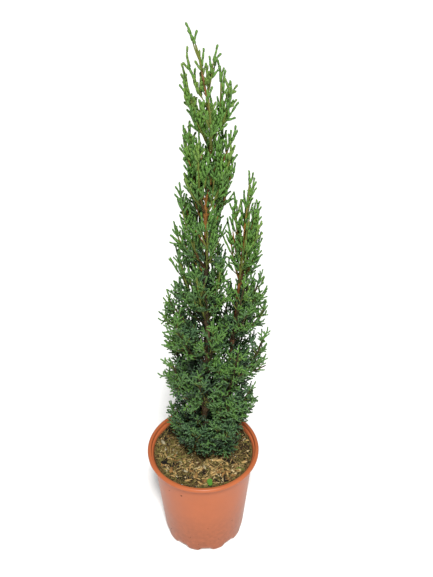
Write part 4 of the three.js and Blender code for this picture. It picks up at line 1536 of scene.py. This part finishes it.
def thinned(shoots, parent):
    """Leaves out some shoots near the top of the crown, but never a parent's last one."""
    is_last = np.append(parent[1:] != parent[:-1], True)
    kept = is_last | (dice.uniform(0, 1, len(parent)) > TOP_THINNING * near_top(shoots))
    return shoots.picked(kept), parent[kept]


def twigs_on(parents, growth, sizes):
    """Twigs all round some parents, with fewer of them near the crown's top."""
    all_round = np.tile(UP, (len(parents.foot), 1))
    side_twigs, _ = thinned(*side_shoots(parents, all_round, growth, sizes))
    return side_twigs


crown_twigs = trim_to_crown(twigs_on(bearers, TWIGS, bearer_size))
room_above = np.array([(PLUME_CEILING - plume.z) / PLUME_RISE for plume in PLUMES])
plume_size = between(*PLUME_SIZE, np.minimum(1, room_above))
plume_twigs = twigs_on(plume_stems, PLUME_TWIGS, plume_size)
twigs = joined_shoots(crown_twigs, plume_twigs)
twig_faces = fan_faces(twigs)
fan_size = twigs.lengths() / TWIGS.length[1] + SMALLEST_FAN
branchlets, branchlet_twig = thinned(*side_shoots(twigs, twig_faces, BRANCHLETS, fan_size))
shown = ~hides_a_gap(branchlets)
branchlets, branchlet_twig = branchlets.picked(shown), branchlet_twig[shown]
tip_size = np.ones(len(branchlets.foot))
tips, tip_branchlet = thinned(*side_shoots(branchlets, twig_faces[branchlet_twig], TIPS, tip_size))
shown = ~hides_a_gap(tips)
tips, tip_twig = tips.picked(shown), branchlet_twig[tip_branchlet[shown]]
print("twigs", len(twigs.foot), "branchlets", len(branchlets.foot), "tips", len(tips.foot))
print("top at", tips.place(1.0)[:, 2].max().round(1), "mm")

# %% [markdown]
# Greens
#
# New growth at the top is a yellowish green, and the dense foliage near the soil is darker and bluish.
# The green also changes a little from spray to spray and from twig to twig. We deal plain greens out
# by twig, so that each fan has one colour, give the fans low in the crown fresher tips, and build one
# piece for each green.

# %% Deal out the greens
GREENS = ["#1c341a", "#3e5f39", "#4b6e39", "#517834", "#568033", "#5e8635", "#6b8a3b"]
TONE_LOW = 0.34
TONE_RISE = 0.56
GREEN_SPREAD = 0.1
SPRAY_SPREAD = 0.045
INNER_SHADE = 0.5
TOP_LIT_FROM = 0.6
FRESH_TIPS_TO = 0.55
LEAF_THIN = 1.06
LEAF_THICK = 1.34
LEAF_THICKENS = (0.4, 0.9)
TWIG_SEEN_AT = 0.6

twig_share = crown_share(twigs.place(TWIG_SEEN_AT)[:, 2])
twig_ends = twigs.place(1.0)
twig_heights = twig_ends[:, 2] - GROUND
twig_leaders = [leader_of(own) for own in twigs.spray]
twig_out = np.linalg.norm((twig_ends - axis_places(twigs, twig_ends))[:, :2], axis=1)
twig_crown = np.array([leader.crown_radius(height) for leader, height in zip(twig_leaders, twig_heights)])
twig_rise = twig_heights / np.array([leader.height for leader in twig_leaders])
in_shade = 1 - smoothstep(TOP_LIT_FROM, 1, twig_rise)
twig_depth = (1 - np.clip(twig_out / twig_crown, 0, 1)) * in_shade
# A tone runs from 0 for the darkest green to 1. It rises with height and falls towards the leader.
tone = TONE_LOW + TONE_RISE * twig_share - INNER_SHADE * twig_depth
tone += dice.normal(0, GREEN_SPREAD, len(twig_share))
tone += dice.normal(0, SPRAY_SPREAD, len(sprays))[twigs.spray] * in_shade
twig_green = np.clip(tone * len(GREENS), 0, len(GREENS) - 1).astype(int)
tip_green = np.minimum(twig_green + (twig_share < FRESH_TIPS_TO), len(GREENS) - 1)
twig_leaf = between(LEAF_THIN, LEAF_THICK, smoothstep(*LEAF_THICKENS, twig_share))
print("twigs of each green:", np.bincount(twig_green, minlength=len(GREENS)))

# %% Waxy scales
SCALE_MM = 1.3
SCALE_MIDDLE_PAINTED_LIGHT = 1.18
SCALE_SEAM_PAINTED_SHADE = 0.72
LEAF_WAX = (0.3, 0.6)


def leaf_material(name, hex_text, age):
    """Waxy scale leaves: satin and knobbly, with painted shade between the scales and painted light on their
    middles. Old ones, of age 1, are waxier.
    """
    material, tree, shader, place = new_material(name, roughness=0.5)
    shader.inputs["Specular IOR Level"].default_value = between(*LEAF_WAX, age)
    colour = linear_colour(hex_text)
    scales = add_node(tree, "ShaderNodeTexVoronoi", {"Vector": place, "Scale": per_metre(SCALE_MM)})
    # The scales' middles are painted lighter and their seams darker: painted light and shade.
    tint = add_node(tree, "ShaderNodeMix", {
        0: scales.outputs["Distance"],
        6: shaded(colour, SCALE_MIDDLE_PAINTED_LIGHT), 7: shaded(colour, SCALE_SEAM_PAINTED_SHADE),
    }, data_type="RGBA")
    relief = add_node(tree, "ShaderNodeBump", {
        "Height": scales.outputs["Distance"], "Strength": 0.4, "Distance": 0.3 * MM,
    }, invert=True)
    tree.links.new(tint.outputs[2], shader.inputs["Base Color"])
    tree.links.new(relief.outputs[0], shader.inputs["Normal"])
    return material


# %% Scale leaves
TWIG_SWELL = [(0.02, 1), (0.3, 0.95), (0.6, 0.95), (0.9, 0.75)]
BRANCHLET_SWELL = [(0.04, 0.9), (0.45, 1), (0.92, 0.85)]
TIP_SWELL = [(0.1, 0.85), (0.75, 1.05)]
SHOOT_SIDES = 4
TIP_SIDES = 3
LEAFY_FROM = 0.4

for green, hex_text in enumerate(GREENS):
    own_twigs = twig_green == green
    own_branchlets = own_twigs[branchlet_twig]
    own_tips = (tip_green == green)[tip_twig]
    name = f"scale_leaves_{green + 1}"
    leafy_twigs = twigs.picked(own_twigs).stretch(LEAFY_FROM, 1)
    branchlet_leaf = twig_leaf[branchlet_twig][own_branchlets]
    mesh = joined_mesh(name, [
        tubes(leafy_twigs, twig_leaf[own_twigs], TWIG_SWELL, SHOOT_SIDES),
        tubes(branchlets.picked(own_branchlets), branchlet_leaf, BRANCHLET_SWELL, SHOOT_SIDES),
        tubes(tips.picked(own_tips), twig_leaf[tip_twig][own_tips], TIP_SWELL, TIP_SIDES),
    ])
    covered = {mass_names[i] for i in (*tips.spray[own_tips], *twigs.spray[own_twigs])}
    leaves = leaf_material(name, hex_text, age=1 - green / len(GREENS))
    show_piece(name, mesh, [leaves], sorted(covered))

# %% [markdown]
# Stems
#
# Between the fans some wood shows: brown stems low in the crown, tan ones on the plumes above them, and
# green ones on all that is young. They could be curves with a bevel, as the limbs are, but there are
# nearly two thousand of them, so they are tubes from arrays too, with one piece for each colour.

# %% Stems and green twigs
STEM_SWELL = [(0.01, 1), (0.2, 0.95), (0.4, 0.9), (0.6, 0.85), (0.8, 0.8), (0.97, 0.72)]
STEM_SIDES = 6
STEM_RADIUS = 1.25
SIDE_STEM_RADIUS = 0.95
TOP_STEM_RADIUS = 0.7
TWIG_RADIUS = 0.6
TWIG_BARE_TO = 0.5
OLD_UNTIL = 0.45
GREEN_FROM = 0.78
PAST_TOP = 1.01


def wood_tubes(shoots, radius, low, high):
    """The bare wood of the stems whose middles lie between two shares of the crown's height."""
    share = crown_share(shoots.place(0.5)[:, 2])
    own = shoots.picked((share >= low) & (share < high))
    return tubes(own, np.full(len(own.foot), radius), STEM_SWELL, STEM_SIDES)


SPRAY_WOOD = [(stems, STEM_RADIUS), (side_stems, SIDE_STEM_RADIUS)]
PLUME_WOOD = (plume_stems, SIDE_STEM_RADIUS)
twig_radii = np.full(len(twigs.foot), TWIG_RADIUS)
old_wood = joined_mesh("old_stems", [
    wood_tubes(*kind, 0, OLD_UNTIL) for kind in (*SPRAY_WOOD, PLUME_WOOD)
])
plume_wood = joined_mesh("plume_stems", [wood_tubes(*PLUME_WOOD, OLD_UNTIL, GREEN_FROM)])
new_wood = joined_mesh("young_stems", [
    *(wood_tubes(*kind, OLD_UNTIL, PAST_TOP) for kind in SPRAY_WOOD),
    wood_tubes(plume_stems, TOP_STEM_RADIUS, GREEN_FROM, PAST_TOP),
    tubes(twigs.stretch(0, TWIG_BARE_TO), twig_radii, TWIG_SWELL, SHOOT_SIDES),
])
brown_bark = scrap_material("brown_twig_bark", "#3e3520", speckle_mm=1.6, contrast=0.35)
tan_bark = scrap_material("tan_twig_bark", "#86602f", speckle_mm=1.6, contrast=0.35)
green_bark = scrap_material("green_twig_bark", "#6c7434", speckle_mm=1.6, contrast=0.3)
show_piece("old_stems", old_wood, [brown_bark])
show_piece("plume_stems", plume_wood, [tan_bark])
show_piece("young_stems", new_wood, [green_bark])

# %% Keep both boxes and print the visual one
boxes = {"cad": [list(corner) for corner in cad_box], "visual": [list(corner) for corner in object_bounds()]}
print("visual box (mm):", [[round(value / MM) for value in corner] for corner in boxes["visual"]])
